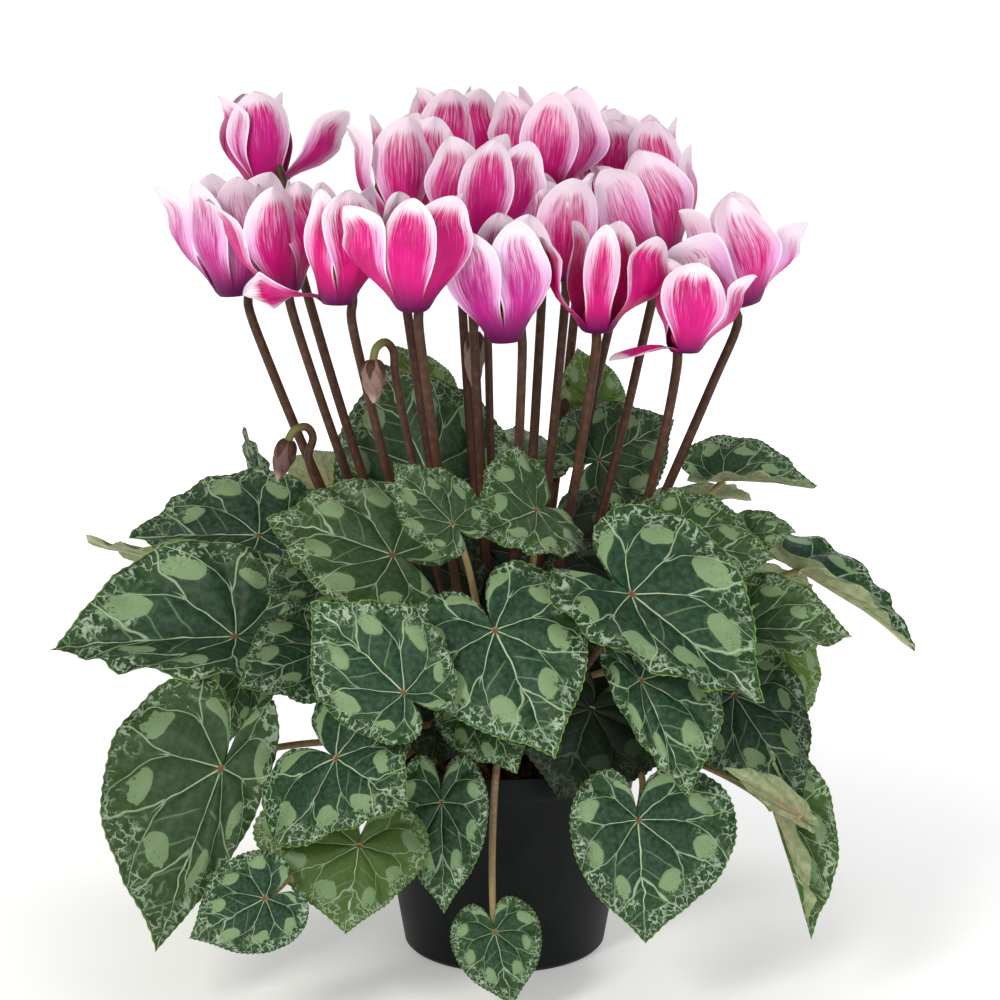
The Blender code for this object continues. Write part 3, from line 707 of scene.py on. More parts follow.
    # bluish green inside and warmer outside, then the markings, each with its strength, and last a
    # painted shade that darkens leaves lying in shade
    base = blotched(tree, "#12291D", "#2D5139", mottle, 0.3, 0.75)
    outer = blotched(tree, "#152E18", "#2F522C", mottle, 0.3, 0.75)
    outward = addNode(
        tree, "MapRange",
        (addNode(tree, "Math", (patchy, 0.4, share), operation="MULTIPLY_ADD"), 0.75, 1.0),
        interpolation_type="SMOOTHSTEP",
    )
    base = addNode(tree, "Mix", {0: outward, 6: base, 7: outer}, 2, data_type="RGBA")
    margin = addNode(tree, "MapRange", (trueShare, 0.982, 0.994), interpolation_type="SMOOTHSTEP")
    centre = addNode(tree, "MapRange", (trueShare, 0.055, 0.02), interpolation_type="SMOOTHSTEP")
    layers = [
        ("#6C8A2E", tint[1], 0.75), ("#A9BEA2", lacy, 0.85), ("#7F9B6E", patch, 0.9),
        ("#7E9A6E", twig, 0.45), ("#A9C29A", fork, 0.75), ("#B2C9A2", mains, 0.95),
        # the last of these, #0A120A, is painted shade for leaves lying in shade
        ("#6F9440", margin, 1.0), ("#7C5234", centre, 1.0), ("#0A120A", tint[2], 0.8),
    ]
    for code, amount, most in layers:
        base = coat(tree, base, code, amount, most)
    tree.links.new(base, shader.inputs["Base Color"])
    sunkFork = addNode(tree, "Math", (fork, -0.6), operation="MULTIPLY")
    relief = addNode(
        tree, "Math",
        (addNode(tree, "Math", (mains, -1.0), operation="MULTIPLY"), sunkFork), operation="ADD",
    )
    relief = addNode(
        tree, "Math",
        (relief, addNode(tree, "Math", (blur, 0.5), operation="MULTIPLY")), operation="ADD",
    )
    raised(tree, shader, relief, 0.7, 0.9)
    return material


def underMaterial():
    # underside: pale olive, flushed pink toward the veins and the stalk
    material, tree, shader = newMaterial("leaf_underside", 0.6, 0.3)
    plan, param, _ = readMaps(tree)
    vein, share, _ = addNode(tree, "SeparateXYZ", (param,), None)
    gap = addNode(
        tree, "Math",
        (addNode(tree, "Math", (vein, 0.5), operation="PINGPONG"), share), operation="MULTIPLY",
    )
    rib = addNode(tree, "MapRange", (gap, 0.03, 0.008), interpolation_type="SMOOTHSTEP")
    mottle = addNode(
        tree, "TexNoise",
        {"Vector": plan, "Scale": 14.0, "Detail": 4, "Roughness": 0.6},
    )
    base = blotched(tree, "#76845A", "#98A079", mottle, 0.3, 0.7)
    flush = addNode(
        tree, "Math",
        (
            addNode(tree, "MapRange", (share, 0.75, 0.1), interpolation_type="SMOOTHSTEP"),
            addNode(tree, "MapRange", (mottle, 0.35, 0.65), interpolation_type="SMOOTHSTEP"),
        ),
        operation="MULTIPLY",
    )
    base = coat(tree, base, "#A88474", flush, 0.65)
    base = coat(tree, base, "#B4B48E", rib, 0.7)
    tree.links.new(base, shader.inputs["Base Color"])
    raised(
        tree, shader,
        addNode(
            tree, "Math",
            (rib, addNode(tree, "Math", (mottle, 0.4), operation="MULTIPLY")), operation="ADD",
        ),
        0.5, 0.8,
    )
    return material


def stalkMaterial():
    # leaf stalks: olive brown near the blade, redder toward the crown, faintly ribbed
    material, tree, shader = newMaterial("leaf_stalk_skin", 0.5, 0.4)
    plan, param, tint = readMaps(tree)
    around, along, _ = addNode(tree, "SeparateXYZ", (param,), None)
    mottle = addNode(tree, "TexNoise", {"Vector": plan, "Scale": 8.0, "Detail": 3})
    ribbed = addNode(
        tree, "TexNoise",
        {"Vector": stretched(tree, around, 9.0, along, 1.0, 0.0), "Scale": 2.0},
    )
    base = blotched(tree, "#8B7A4C", "#6A4534", along, 0.05, 0.75)
    base = coat(
        tree, base, "#9A8660",
        addNode(tree, "MapRange", (mottle, 0.45, 0.7), interpolation_type="SMOOTHSTEP"), 0.6,
    )
    base = coat(
        tree, base, "#4E3226",
        addNode(tree, "MapRange", (ribbed, 0.5, 0.7), interpolation_type="SMOOTHSTEP"), 0.45,
    )
    base = coat(tree, base, "#7E8A3E", tint[1], 0.6)
    tree.links.new(base, shader.inputs["Base Color"])
    raised(tree, shader, ribbed, 0.3, 0.6)
    return material


leafSides = [leafMaterial(), underMaterial()]
stalkSkin = stalkMaterial()
for number, (name, leaf) in enumerate(leaves.items(), 1):
    makeBlade(name + "_blade", leaf, number, leafSides, name)
    makeStalk(name + "_stalk", leaf, number, footOf(name), stalkSkin, name)
for number, (name, leaf) in enumerate(moreLeaves.items(), 60):
    toward = Matrix.Rotation(moreFeet["turned"], 2) @ Vector(leaf["eye"]).xy.normalized()
    foot = Vector((*(toward * moreFeet["radius"]), moreFeet["height"]))
    makeBlade(name + "_blade", leaf, number, leafSides)
    makeStalk(name + "_stalk", leaf, number, foot, stalkSkin)
print("leaves done:", len(leaves) + len(moreLeaves))

# Flowers. nose: the lowest point. tilt: how the petals lean to +X and +Y, as slopes.
# hook: compass angle of the side where the stem goes up, degrees from +X. lean: each petal's angle
# from the flower's axis, degrees, counted round from the hook. long: the petals' length.
# wide, reach: factors for each petal's width and length. bend: how far the stem bows on its way
# down. pale: how much white is in the petals. violet: how much purple.
flowers = {
    "flower_01": dict(
        nose=(-104, 56, 325), tilt=(-0.1, 0.1), hook=-50,
        lean=(48, 14, 10, 8, 8), long=40, pale=0.3, wide=(0.75, 1, 1.1, 1.1, 1.1), violet=0.5,
    ),
    "flower_02": dict(
        nose=(-117, 20, 285), tilt=(-0.06, 0), hook=60,
        lean=(14, 24, 14, 12, 16), long=48, pale=0.7, violet=0.8,
    ),
    "flower_03": dict(
        nose=(-92, -8, 290), tilt=(-0.15, 0), hook=90,
        lean=(8, 20, 8, 8, 8), long=42, pale=0.45, violet=0.35,
    ),
    "flower_04": dict(
        nose=(-69, -40, 290), tilt=(0.02, 0), hook=60,
        lean=(12, 92, 8, 8, 8), long=44, pale=0.4, wide=(1, 1, 0.6, 1.05, 1.05), violet=0.1,
        reach=(1, 0.74, 1, 1, 1),
    ),
    "flower_05": dict(
        nose=(-37, -66, 291), tilt=(0, 0), hook=80,
        lean=(12, 26, 6, 8, 12), long=43, pale=0.35, violet=0.25,
    ),
    "flower_06": dict(
        nose=(-44, 16, 314), tilt=(0, 0), hook=100,
        lean=(12, 25, 8, 8, 8), long=44, pale=0.55, wide=(1, 0.6, 1.1, 1, 1),
    ),
    "flower_07": dict(
        nose=(-23, 54, 322), tilt=(0, 0), hook=80, lean=(14, 10, 6, 6, 6), long=45, pale=0.3,
    ),
    "flower_08": dict(
        nose=(-12, -8, 308), tilt=(0.05, 0), hook=100,
        lean=(6, 14, 8, 16, 10), long=44, pale=0.4, violet=0.35,
    ),
    "flower_09": dict(
        nose=(0, -44, 275), tilt=(-0.05, 0), hook=54,
        lean=(6, 18, 12, 8, 8), long=47, bend=(0, 6), pale=0.65, violet=0.9,
    ),
    "flower_10": dict(
        nose=(38, -38, 278), tilt=(0, 0), hook=90,
        lean=(12, 26, 6, 26, 10), long=41, pale=0.3, wide=(1, 1.15, 0.62, 1.15, 1), violet=0.15,
    ),
    "flower_11": dict(
        nose=(69, 22, 302), tilt=(-0.28, 0), hook=120,
        lean=(20, 16, 10, 26, 12), long=42, pale=0.8,
    ),
    "flower_12": dict(
        nose=(18, 28, 325), tilt=(0, 0), hook=90, lean=(10, 16, 10, 12, 10), long=44, pale=0.65,
    ),
    "flower_13": dict(
        nose=(38, 94, 312), tilt=(0, 0), hook=100, lean=(8, 12, 8, 9, 8), long=43, pale=0.6,
    ),
    "flower_14": dict(
        nose=(61, 60, 314), tilt=(0, 0), hook=110,
        lean=(8, 8, 8, 12, 8), long=40, bend=(-8, 0), pale=0.45,
    ),
    "flower_15": dict(
        nose=(26, 0, 294), tilt=(0, 0), hook=90, lean=(8, 14, 8, 10, 8), long=40, pale=0.7,
    ),
    "flower_16": dict(
        nose=(74, -40, 270), tilt=(0.05, 0), hook=100,
        lean=(8, 98, 6, 34, 10), long=34, bend=(8, 8), pale=0.4, reach=(1, 0.7, 1, 1, 1),
    ),
    "flower_17": dict(
        nose=(102, -8, 285), tilt=(-0.28, 0), hook=120,
        lean=(16, 40, 14, 50, 22), long=43, bend=(-6, -6), pale=0.85, wide=(1, 1.2, 1.1, 0.7, 1),
        reach=(1, 1, 1, 0.78, 1),
    ),
}

petalShape = {
    "halfWide": 13.4,
    "turn": 42,  # degrees that a petal at the side twists from base to tip
    "bow": 5.5,  # how far a petal bellies outward
    "thick": 0.45,
    "cup": 0.48,
    "crease": 0.7,  # depth of the groove along its middle
    "base": (2.75, 6),  # where its free part starts, above the nose and out from the axis
    "hidden": 2,  # the part of its length that is in the nose
    "aside": 12,  # degrees that the two petals next to the stem are turned from it
    # distance along the petal, then the bowl's radius and height there
    "bowl": (
        (0, 3.4, 2.6), (2.6, 4.2, 0.2), (4.2, 5.7, -0.2), (7, 7.6, 1.9), (10.5, 8.8, 5.2),
        (30, 13.0, 24.2),
    ),
    # least and most of what differs from petal to petal
    "strayLean": (-3, 5),
    "strayTwist": (-36, 36),
    "cupShare": (-0.4, 1.3),
    "curl": (-3, 5),
    "sway": (-4, 4),
    "wave": (0.4, 1.1),
    "widths": (0.94, 1.06),
    "throat": (1.6, 3.5, 6, 8.5, 10),  # heights over the nose
    "columns": 16,
    "rows": 24,
}


def halfWidth(share):
    # a petal's half width as a share of its greatest
    if share > 0.6:
        return max(0.0, 1 - ((share - 0.6) / 0.4) ** 2.1) ** 0.66
    return 0.34 + 0.66 * eased(share, 0.0, 0.6)


def flowerAxes(flower):
    # the nose, the petals' axis, the hook's compass angle and the side where the stem goes up
    axis = Vector((*flower["tilt"], 1)).normalized()
    hook = math.radians(flower["hook"])
    side = Vector((math.cos(hook), math.sin(hook), 0))
    side = (side - axis * side.dot(axis)).normalized()
    return Vector(flower["nose"]), axis, hook, side


def makePetals(name, flower, number, material):
    nose, axis, hook, side = flowerAxes(flower)
    around = axis.cross(side)
    random.seed(number + 900)
    columns, rows = petalShape["columns"], petalShape["rows"]
    shares = [min(1.0, (row / rows) * 0.62 / 0.6) if row < rows * 0.6 else
              0.62 + 0.38 * math.sin(math.pi / 2 * (row / rows - 0.6) / 0.4) for row in range(rows + 1)]
    bm = newSheet()
    for index in range(5):
        spare = {0: petalShape["aside"], 4: -petalShape["aside"]}.get(index, 0)
        centre = math.radians(72 * index + 36)
        swung = math.radians(72 * index + 36 + spare)
        out = side * math.cos(centre) + around * math.sin(centre)
        aim = side * math.cos(swung) + around * math.sin(swung)
        lean = math.radians(flower["lean"][index] + random.uniform(*petalShape["strayLean"]))
        length = (flower["long"] + petalShape["hidden"]) * flower.get("reach", (1,) * 5)[index]
        way = axis * math.cos(lean) + aim * math.sin(lean)
        base = nose + axis * petalShape["base"][0] + out * petalShape["base"][1]
        facing = math.radians(petalShape["turn"]) * -math.cos(hook + centre)
        twist = facing + math.radians(random.uniform(*petalShape["strayTwist"]))
        cups = [petalShape["cup"] * random.uniform(*petalShape["cupShare"]) for half in range(2)]
        curl = random.uniform(*petalShape["curl"])
        sway = random.uniform(*petalShape["sway"])
        wave = random.uniform(*petalShape["wave"])
        phase = random.uniform(0, 6)
        wide = petalShape["halfWide"] * random.uniform(*petalShape["widths"])
        wide *= flower.get("wide", (1,) * 5)[index]
        late = 10 if flower["lean"][index] > 60 else 17  # where the free part has taken over
        pale = flower["pale"] + random.uniform(-0.12, 0.12)

        def across(column):
            return 2 * column / columns - 1 if column <= columns else 3 - 2 * column / columns

        def place(column, row):
            u, v = across(column), shares[row]
            s = v * length
            bowlAngle = centre + u * math.radians(39)
            radial = side * math.cos(bowlAngle) + around * math.sin(bowlAngle)
            stops = petalShape["bowl"]
            radius = alongTable([stop[:2] for stop in stops], s)
            rise = alongTable([(stop[0], stop[2]) for stop in stops], s)
            onBowl = nose + axis * rise + radial * radius
            reach = max(0.0, s - 4) / (length - 4)
            belly = petalShape["bow"] * math.sin(math.pi * min(1, 1.3 * reach)) + curl * reach**3
            turned = Matrix.Rotation(twist * min(1, 1.6 * reach), 3, way) @ axis.cross(aim)
            inward = way.cross(turned)
            w = wide * halfWidth(v)
            bent = cups[u > 0] * u * u * w + wave * math.sin(9 * v + phase + 2 * u) * abs(u) ** 3
            bent += noise.noise(Vector((u * 1.3, v * 3.0, number + index * 5.1)))
            bent -= petalShape["crease"] * math.exp(-((u / 0.12) ** 2)) * (1 - v) * v * 3
            free = base + way * (length * reach) + aim * belly
            free += turned * (u * w * (1 - 0.06 * u * u) + sway * reach * reach) + inward * bent
            mix = eased(s, 6, late)
            point = onBowl.lerp(free, mix)
            if column > columns:
                skin = (-radial).lerp(inward, mix).normalized()
                atBase, atTip = min(1, v * 12), min(1, (1 - v) * 12)
                point += skin * petalShape["thick"] * (1 - u**4) * atBase * atTip
            plan = (u * w / 40 + 3 * (number * 5 + index), s / 40)
            return point, plan, (u / 2 + 0.5, v)

        def kind(column, row):
            # violet, pale, and the distance from the edge up to 12 mm
            u, v = across(column), shares[row]
            edge = min((1 - abs(u)) * wide * halfWidth(v), (1 - v) * length * 0.9)
            return flower.get("violet", 0.3), pale, min(1, edge / 12), 1

        drawSheet(bm, 2 * columns, rows, place, kind)
    # the dark throat inside the ring of petals
    throat = [nose + axis * height for height in petalShape["throat"]]
    drawTube(bm, throat, lambda share, angle: 4.0 + 2.2 * math.sin(3.0 * share), 16, (0, 0, 0.5, 1))
    makePiece(name, bm, [material], name[:9])


stemShape = {
    "radius": 2.05,
    "hook": ((0, 9.5), (5, 12), (10.5, 9.5), (12, 0), (11.5, -9)),  # out from and up from the nose
    "calyx": 2.6,  # how much thicker the stem is in the flower
    "foot": 0.45,  # and where it leaves the tuber
    "sides": 14,
    "steps": 4,  # between two points of its route
}


def smoothRoute(points, steps):
    # a smooth line through the given points
    line = []
    for index in range(len(points) - 1):
        before = points[max(index - 1, 0)]
        start, end = points[index], points[index + 1]
        after = points[min(index + 2, len(points) - 1)]
        leave = (end - before) / 2 if index else (end - start)
        arrive = (after - start) / 2
        for step in range(steps):
            t = step / steps
            line.append(
                start * (2 * t**3 - 3 * t**2 + 1) + leave * (t**3 - 2 * t**2 + t)
                + end * (3 * t**2 - 2 * t**3) + arrive * (t**3 - t**2)
            )
    return line + [points[-1]]


def stemPoints(top, root, bend):
    aside = Vector((*bend, 0))
    upper = Vector((*top.xy.lerp(root.xy, 0.27), top.z + (root.z - top.z) * 0.35)) + aside
    lower = Vector((*top.xy.lerp(root.xy, 0.64), top.z + (root.z - top.z) * 0.7)) + aside
    return [bezier([top, upper, lower, root], share) for share in (0.12, 0.3, 0.5, 0.72, 0.9, 1.0)]


def makeStem(name, flower, number, foot, material):
    nose, axis, _, side = flowerAxes(flower)
    random.seed(number + 1300)
    root = foot - Vector((0, 0, footDepth))
    turn = [nose + side * out + axis * up for out, up in stemShape["hook"]]
    points = [nose + axis * 5] + turn + stemPoints(turn[-1], root, flower.get("bend", (0, 0)))
    route = smoothRoute(points, stemShape["steps"])
    total = sum((b - a).length for a, b in zip(route, route[1:]))
    phase = random.uniform(0, 6)

    def radius(share, angle):
        gone = share * total
        calyx = stemShape["calyx"] * eased(gone, 6.5, 2.0) * (1 + 0.12 * math.cos(5 * angle))
        spread = stemShape["foot"] * eased(share, 0.93, 1.0)
        return stemShape["radius"] + calyx + spread + 0.06 * math.sin(9 * share + phase)

    bm = newSheet()
    drawTube(bm, route, radius, stemShape["sides"], (random.random(), 0, 0, 1))
    makePiece(name, bm, [material], name[:9])


def petalMaterial():
    # cyclamen petal: magenta with a white rim, streaked, deep purple round the mouth, with a thin edge
    # line that is partly painted highlight
    material, tree, shader = newMaterial("petal_skin", 0.5, 0.2)
    plan, param, tint = readMaps(tree)
    around, along, _ = addNode(tree, "SeparateXYZ", (param,), None)
    # each petal has its own stretch of the plan map
    seed = addNode(tree, "SeparateXYZ", (plan,), None)[0]
    edge = addNode(tree, "Math", (tint[2], 12.0), operation="MULTIPLY")
    streak = addNode(
        tree, "TexNoise",
        {
            "Vector": stretched(tree, around, 34.0, along, 3.2, seed), "Scale": 1.0, "Detail": 3,
            "Roughness": 0.6,
        },
    )
    fine = addNode(
        tree, "TexNoise",
        {"Vector": stretched(tree, around, 90.0, along, 7.0, seed), "Scale": 1.0, "Roughness": 0.6},
    )
    soft = addNode(tree, "TexNoise", {"Vector": plan, "Scale": 3.0})

    body = blotched(tree, "#BE0060", "#DA0A78", soft, 0.35, 0.65)
    body = coat(tree, body, "#A62890", tint[0], 0.7)
    body = coat(
        tree, body, "#A8065A",
        addNode(tree, "MapRange", (streak, 0.5, 0.72), interpolation_type="SMOOTHSTEP"), 0.5,
    )
    light = blotched(tree, "#ECA9E2", "#F7E9F5", along, 0.35, 0.9)

    # how much of the pale colour shows: more toward the rim and the tip
    rim = addNode(
        tree, "Math",
        (
            addNode(tree, "MapRange", (edge, 8.0, 0.6), interpolation_type="SMOOTHSTEP"),
            addNode(tree, "MapRange", (along, 0.12, 0.5), interpolation_type="SMOOTHSTEP"),
        ),
        operation="MULTIPLY",
    )
    reach = addNode(tree, "Math", (along, 0.85, -0.75), operation="MULTIPLY_ADD")
    amount = addNode(
        tree, "Math",
        (addNode(tree, "Math", (rim, 0.85), operation="MULTIPLY"), reach), operation="ADD",
    )
    amount = addNode(
        tree, "Math",
        (amount, addNode(tree, "Math", (tint[1], 0.85), operation="MULTIPLY")), operation="ADD",
    )
    amount = addNode(
        tree, "Math",
        (amount, addNode(tree, "Math", (streak, -1.5, 0.8), operation="MULTIPLY_ADD")),
        operation="ADD",
    )
    amount = addNode(
        tree, "Math",
        (amount, addNode(tree, "Math", (fine, -0.8, 0.4), operation="MULTIPLY_ADD")),
        operation="ADD",
    )
    amount = addNode(tree, "MapRange", (amount, 0.12, 1.0), interpolation_type="SMOOTHSTEP")
    skin = addNode(
        tree, "Mix",
        {0: addNode(tree, "Math", (amount, 0.92), operation="MULTIPLY"), 6: body, 7: light}, 2,
        data_type="RGBA",
    )
    # a thin whitish line along the very edge: partly the petal's pale margin, partly a painted
    # highlight on the rim
    line = addNode(tree, "MapRange", (edge, 1.3, 0.35), interpolation_type="SMOOTHSTEP")
    skin = coat(
        tree, skin, "#F6E9F0", line,
        addNode(tree, "MapRange", (along, 0.2, 0.4), interpolation_type="SMOOTHSTEP"),
    )
    mouth = addNode(
        tree, "MapRange",
        (addNode(tree, "Math", (streak, 0.14, along), operation="MULTIPLY_ADD"), 0.42, 0.2),
        interpolation_type="SMOOTHSTEP",
    )
    skin = addNode(tree, "Mix", {0: mouth, 6: skin, 7: colour("#5A0648")}, 2, data_type="RGBA")
    tree.links.new(skin, shader.inputs["Base Color"])
    raised(
        tree, shader,
        addNode(
            tree, "Math",
            (streak, addNode(tree, "Math", (fine, 0.6), operation="MULTIPLY")), operation="ADD",
        ),
        0.35, 0.5,
    )
    return material


def stemMaterial():
    # flower stems: brownish red with a fine lengthwise grain
    material, tree, shader = newMaterial("flower_stem_skin", 0.48, 0.22)
    plan, param, tint = readMaps(tree)
    around, along, _ = addNode(tree, "SeparateXYZ", (param,), None)
    mottle = addNode(tree, "TexNoise", {"Vector": plan, "Scale": 5.0, "Detail": 3})
    ribbed = addNode(
        tree, "TexNoise",
        {"Vector": stretched(tree, around, 12.0, along, 5.0, tint[0]), "Scale": 1.6, "Detail": 3},
    )
    base = blotched(tree, "#432A1C", "#4A281A", along, 0.25, 0.9)
    base = coat(
        tree, base, "#634431",
        addNode(tree, "MapRange", (mottle, 0.45, 0.7), interpolation_type="SMOOTHSTEP"), 0.6,
    )
    base = coat(
        tree, base, "#2A1710",
        addNode(tree, "MapRange", (ribbed, 0.5, 0.72), interpolation_type="SMOOTHSTEP"), 0.5,
    )
    base = coat(
        tree, base, "#6B6A3A",
        addNode(tree, "MapRange", (along, 0.07, 0.02), interpolation_type="SMOOTHSTEP"), 1.0,
    )
    tree.links.new(base, shader.inputs["Base Color"])
    raised(tree, shader, ribbed, 0.25, 0.6)
    return material


petalSkin = petalMaterial()
stemSkin = stemMaterial()
for number, (name, flower) in enumerate(flowers.items(), 1):
    makePetals(name + "_petals", flower, number, petalSkin)
    makeStem(name + "_stem", flower, number, footOf(name), stemSkin)
print("flowers done:", len(flowers))

# Buds. neck: where the stalk turns over. drop: the way the bud hangs. size: its length and width.
# over: a place that the stalk bends toward. dark: how much dark purple is in it.
buds = {
    "bud_1": dict(neck=(-90, -30, 232), drop=(-0.3, 0, -1), size=(18, 9), dark=0.8),
    "bud_2": dict(neck=(-54, -42, 268), drop=(0, -0.1, -1), size=(18, 10), dark=0.45),
    "bud_3": dict(neck=(-13, 20, 270), drop=(0, 0, -1), size=(26, 9), dark=0.3),
    "bud_4": dict(neck=(66, -81, 113), drop=(0.1, 0, -1), size=(22, 9), over=(62, -52, 112), dark=0.7),
}
budShape = {
    "girth": (
        (0, 0.45), (0.08, 0.78), (0.2, 0.95), (0.35, 1.0), (0.55, 0.88), (0.75, 0.62), (0.92, 0.3),
        (1, 0.1),
    ),
    "hook": ((1.5, -4), (6, -6), (10, -2), (11, 8)),  # out from and down from the neck
    "turns": 0.45,  # how far the closed petals wind round each other
    "ridge": 0.13,  # how much they stand out
    "steps": 22,
    "sides": 40,
    "stalk": 1.75,  # the stalk's radius, and how much wider its foot is
    "foot": 0.5,
    "sepal": 8.0,
    "sepalWide": 2.3,
    "sepalThick": 0.35,
    "sepalOff": 0.55,  # how far its outside lies off the petals
}


def makeBud(name, bud, number, foot, skins):
    neck, drop = Vector(bud["neck"]), Vector(bud["drop"]).normalized()
    length, width = bud["size"]
    random.seed(number + 1700)
    steps = budShape["steps"]
    body = [neck + drop * (1 + length * index / steps) for index in range(steps + 1)]

    def girth(share, angle):
        ridge = budShape["ridge"] * math.cos(5 * (angle + 6.28 * budShape["turns"] * share))
        ridge *= eased(share, 0.1, 0.4)
        return alongTable(budShape["girth"], share) * width / 2 * (1 + ridge)

    bm = newSheet()
    drawTube(bm, body, girth, budShape["sides"], (random.random(), bud["dark"], 0, 1))
    makePiece(name + "_petals", bm, [skins[0]], name)

    inward = Vector((-neck.x, -neck.y, 0)).normalized()
    inward = (inward - drop * inward.dot(drop)).normalized()
    around = drop.cross(inward)
    root = foot - Vector((0, 0, footDepth))
    points = [neck + drop * 1.5, neck]
    points += [neck + inward * out + drop * down for out, down in budShape["hook"]]
    if "over" in bud:
        curve = [points[-2], Vector(bud["over"]), foot + Vector((0, 0, 30)), root]
        points = points[:-1] + [bezier(curve, share) for share in (0.12, 0.3, 0.5, 0.72, 1.0)]
    else:
        points += stemPoints(points[-1], root, (0, 0))

    def radius(share, angle):
        return budShape["stalk"] + budShape["foot"] * eased(share, 0.92, 1.0)

    bm = newSheet()
    drawTube(bm, smoothRoute(points, stemShape["steps"]), radius, 12, (0.5, 0, 0, 1))
    for index in range(5):
        turned = 2 * math.pi * index / 5
        out = inward * math.cos(turned) + around * math.sin(turned)
        beside = around * math.cos(turned) - inward * math.sin(turned)

        def place(column, row):
            u = column / 4 - 1 if column <= 8 else 3 - column / 4
            v = row / 8
            wide = budShape["sepalWide"] * (1 - v**1.6) * (0.5 + 1.2 * v * (1 - v) * 2)
            skin = 0.0 if column <= 8 else budShape["sepalThick"] * (1 - u * u) * min(1, 4 * v)
            inside = alongTable(budShape["girth"], v * budShape["sepal"] / length) * width / 2
            point = neck + drop * (1 + v * budShape["sepal"])
            point += out * (inside + budShape["sepalOff"] - skin)
            point += beside * u * wide - out * abs(u) * wide * 0.35
            return point, (u * wide / 20, v), (u / 2 + 0.5, 0.3)

        drawSheet(bm, 16, 8, place, (0.5, 0, 0, 1))
    makePiece(name + "_stalk", bm, [skins[1]], name)


def budMaterial():
    # closed petals: dull rose brown to dark purple, paler at the tip
    material, tree, shader = newMaterial("bud_skin", 0.5, 0.35)
    _, param, tint = readMaps(tree)
    around, along, _ = addNode(tree, "SeparateXYZ", (param,), None)
    wound = addNode(
        tree, "Math",
        (along, 5.0, addNode(tree, "Math", (around, 20.0), operation="MULTIPLY")),
        operation="MULTIPLY_ADD",
    )
    streak = addNode(
        tree, "TexNoise",
        {"Vector": stretched(tree, wound, 1.0, along, 1.0, 0.0), "Scale": 1.5, "Detail": 3},
    )
    light = blotched(tree, "#A9837A", "#8F7B66", streak, 0.35, 0.65)
    dark = blotched(tree, "#3A2024", "#553038", streak, 0.35, 0.65)
    base = addNode(tree, "Mix", {0: tint[1], 6: light, 7: dark}, 2, data_type="RGBA")
    base = coat(
        tree, base, "#C4A79C",
        addNode(tree, "MapRange", (along, 0.7, 1.0), interpolation_type="SMOOTHSTEP"), 0.7,
    )
    tree.links.new(base, shader.inputs["Base Color"])
    raised(tree, shader, streak, 0.3, 0.6)
    return material


budSkin = budMaterial()
for number, (name, bud) in enumerate(buds.items(), 1):
    makeBud(name, bud, number, footOf(name), [budSkin, stemSkin])
print("buds done:", len(buds))

pot = {
    "height": 92.0,
    "rim": 60.0,
    "base": 44.0,
    "wall": 1.3,
    "floor": 2.0,
    "band": 9.0,
    "step": 1.8,
    "sides": 128,
    "holes": 5,
    "hole": 4.5,
    "circle": 29.0,
    "soft": 0.5,  # rounding of its moulded edges
    "chamfer": 2.0,  # at its foot and under the band
    "lip": 0.5,  # how far the band leans in to the rim
    "flare": 0.8,  # and how much wider the rim is than the band's foot
    "land": 12.0,  # from the ring of holes out to the middle of the base's flat edge
}


def makePot(material):
    lower = pot["rim"] - pot["step"] - pot["flare"]
    top, band = pot["height"], pot["height"] - pot["band"]
    chamfer, upper = pot["chamfer"], pot["rim"] - pot["lip"]
    profile = [
        (0, 0), (pot["circle"] + pot["land"], 0), (pot["base"] - chamfer, 0), (pot["base"], chamfer),
        (lower, band - chamfer), (lower + pot["step"], band), (upper, top),
        (upper - pot["wall"], top), (lower - pot["wall"], band - chamfer),
        (pot["base"] - pot["wall"], pot["floor"]), (0, pot["floor"]),
    ]
    bm = bmesh.new()
    corners = [bm.verts.new((radius, 0, height)) for radius, height in profile]
    for pair in zip(corners, corners[1:]):
        bm.edges.new(pair)
    bmesh.ops.bevel(
        bm, geom=corners[2:-1], offset=pot["soft"], segments=2, profile=0.5,
        affect="VERTICES", material=-1,
    )
    bmesh.ops.spin(
        bm, geom=bm.verts[:] + bm.edges[:], cent=(0, 0, 0), axis=(0, 0, 1), angle=2 * math.pi,
        steps=pot["sides"], use_merge=True, use_duplicate=False,
    )
    piece = makePiece("pot_shell", bm, [material], "pot", sharp=35)
    bm = bmesh.new()
    for index in range(pot["holes"]):
        turn = 2 * math.pi * index / pot["holes"]
        centre = (pot["circle"] * math.cos(turn), pot["circle"] * math.sin(turn), 0)
        bmesh.ops.create_cone(
            bm, cap_ends=True, segments=32, radius1=pot["hole"], radius2=pot["hole"],
            depth=4 * pot["floor"], matrix=Matrix.Translation(centre),
        )
    bmesh.ops.scale(bm, vec=(mm, mm, mm), verts=bm.verts)
    mesh = bpy.data.meshes.new("drain_cutter")
    bm.to_mesh(mesh)
    bm.free()
    cutter = bpy.data.objects.new("drain_cutter", mesh)
    bpy.context.scene.collection.objects.link(cutter)
    cut = piece.modifiers.new("drain_holes", "BOOLEAN")
    cut.object = cutter
    cut.operation = "DIFFERENCE"
    bpy.context.view_layer.update()
    ready = piece.evaluated_get(bpy.context.evaluated_depsgraph_get())
    piece.data = bpy.data.meshes.new_from_object(ready)
    piece.modifiers.clear()
    bpy.data.objects.remove(cutter)
    piece.data.shade_smooth()
    piece.data.set_sharp_from_angle(angle=math.radians(35))


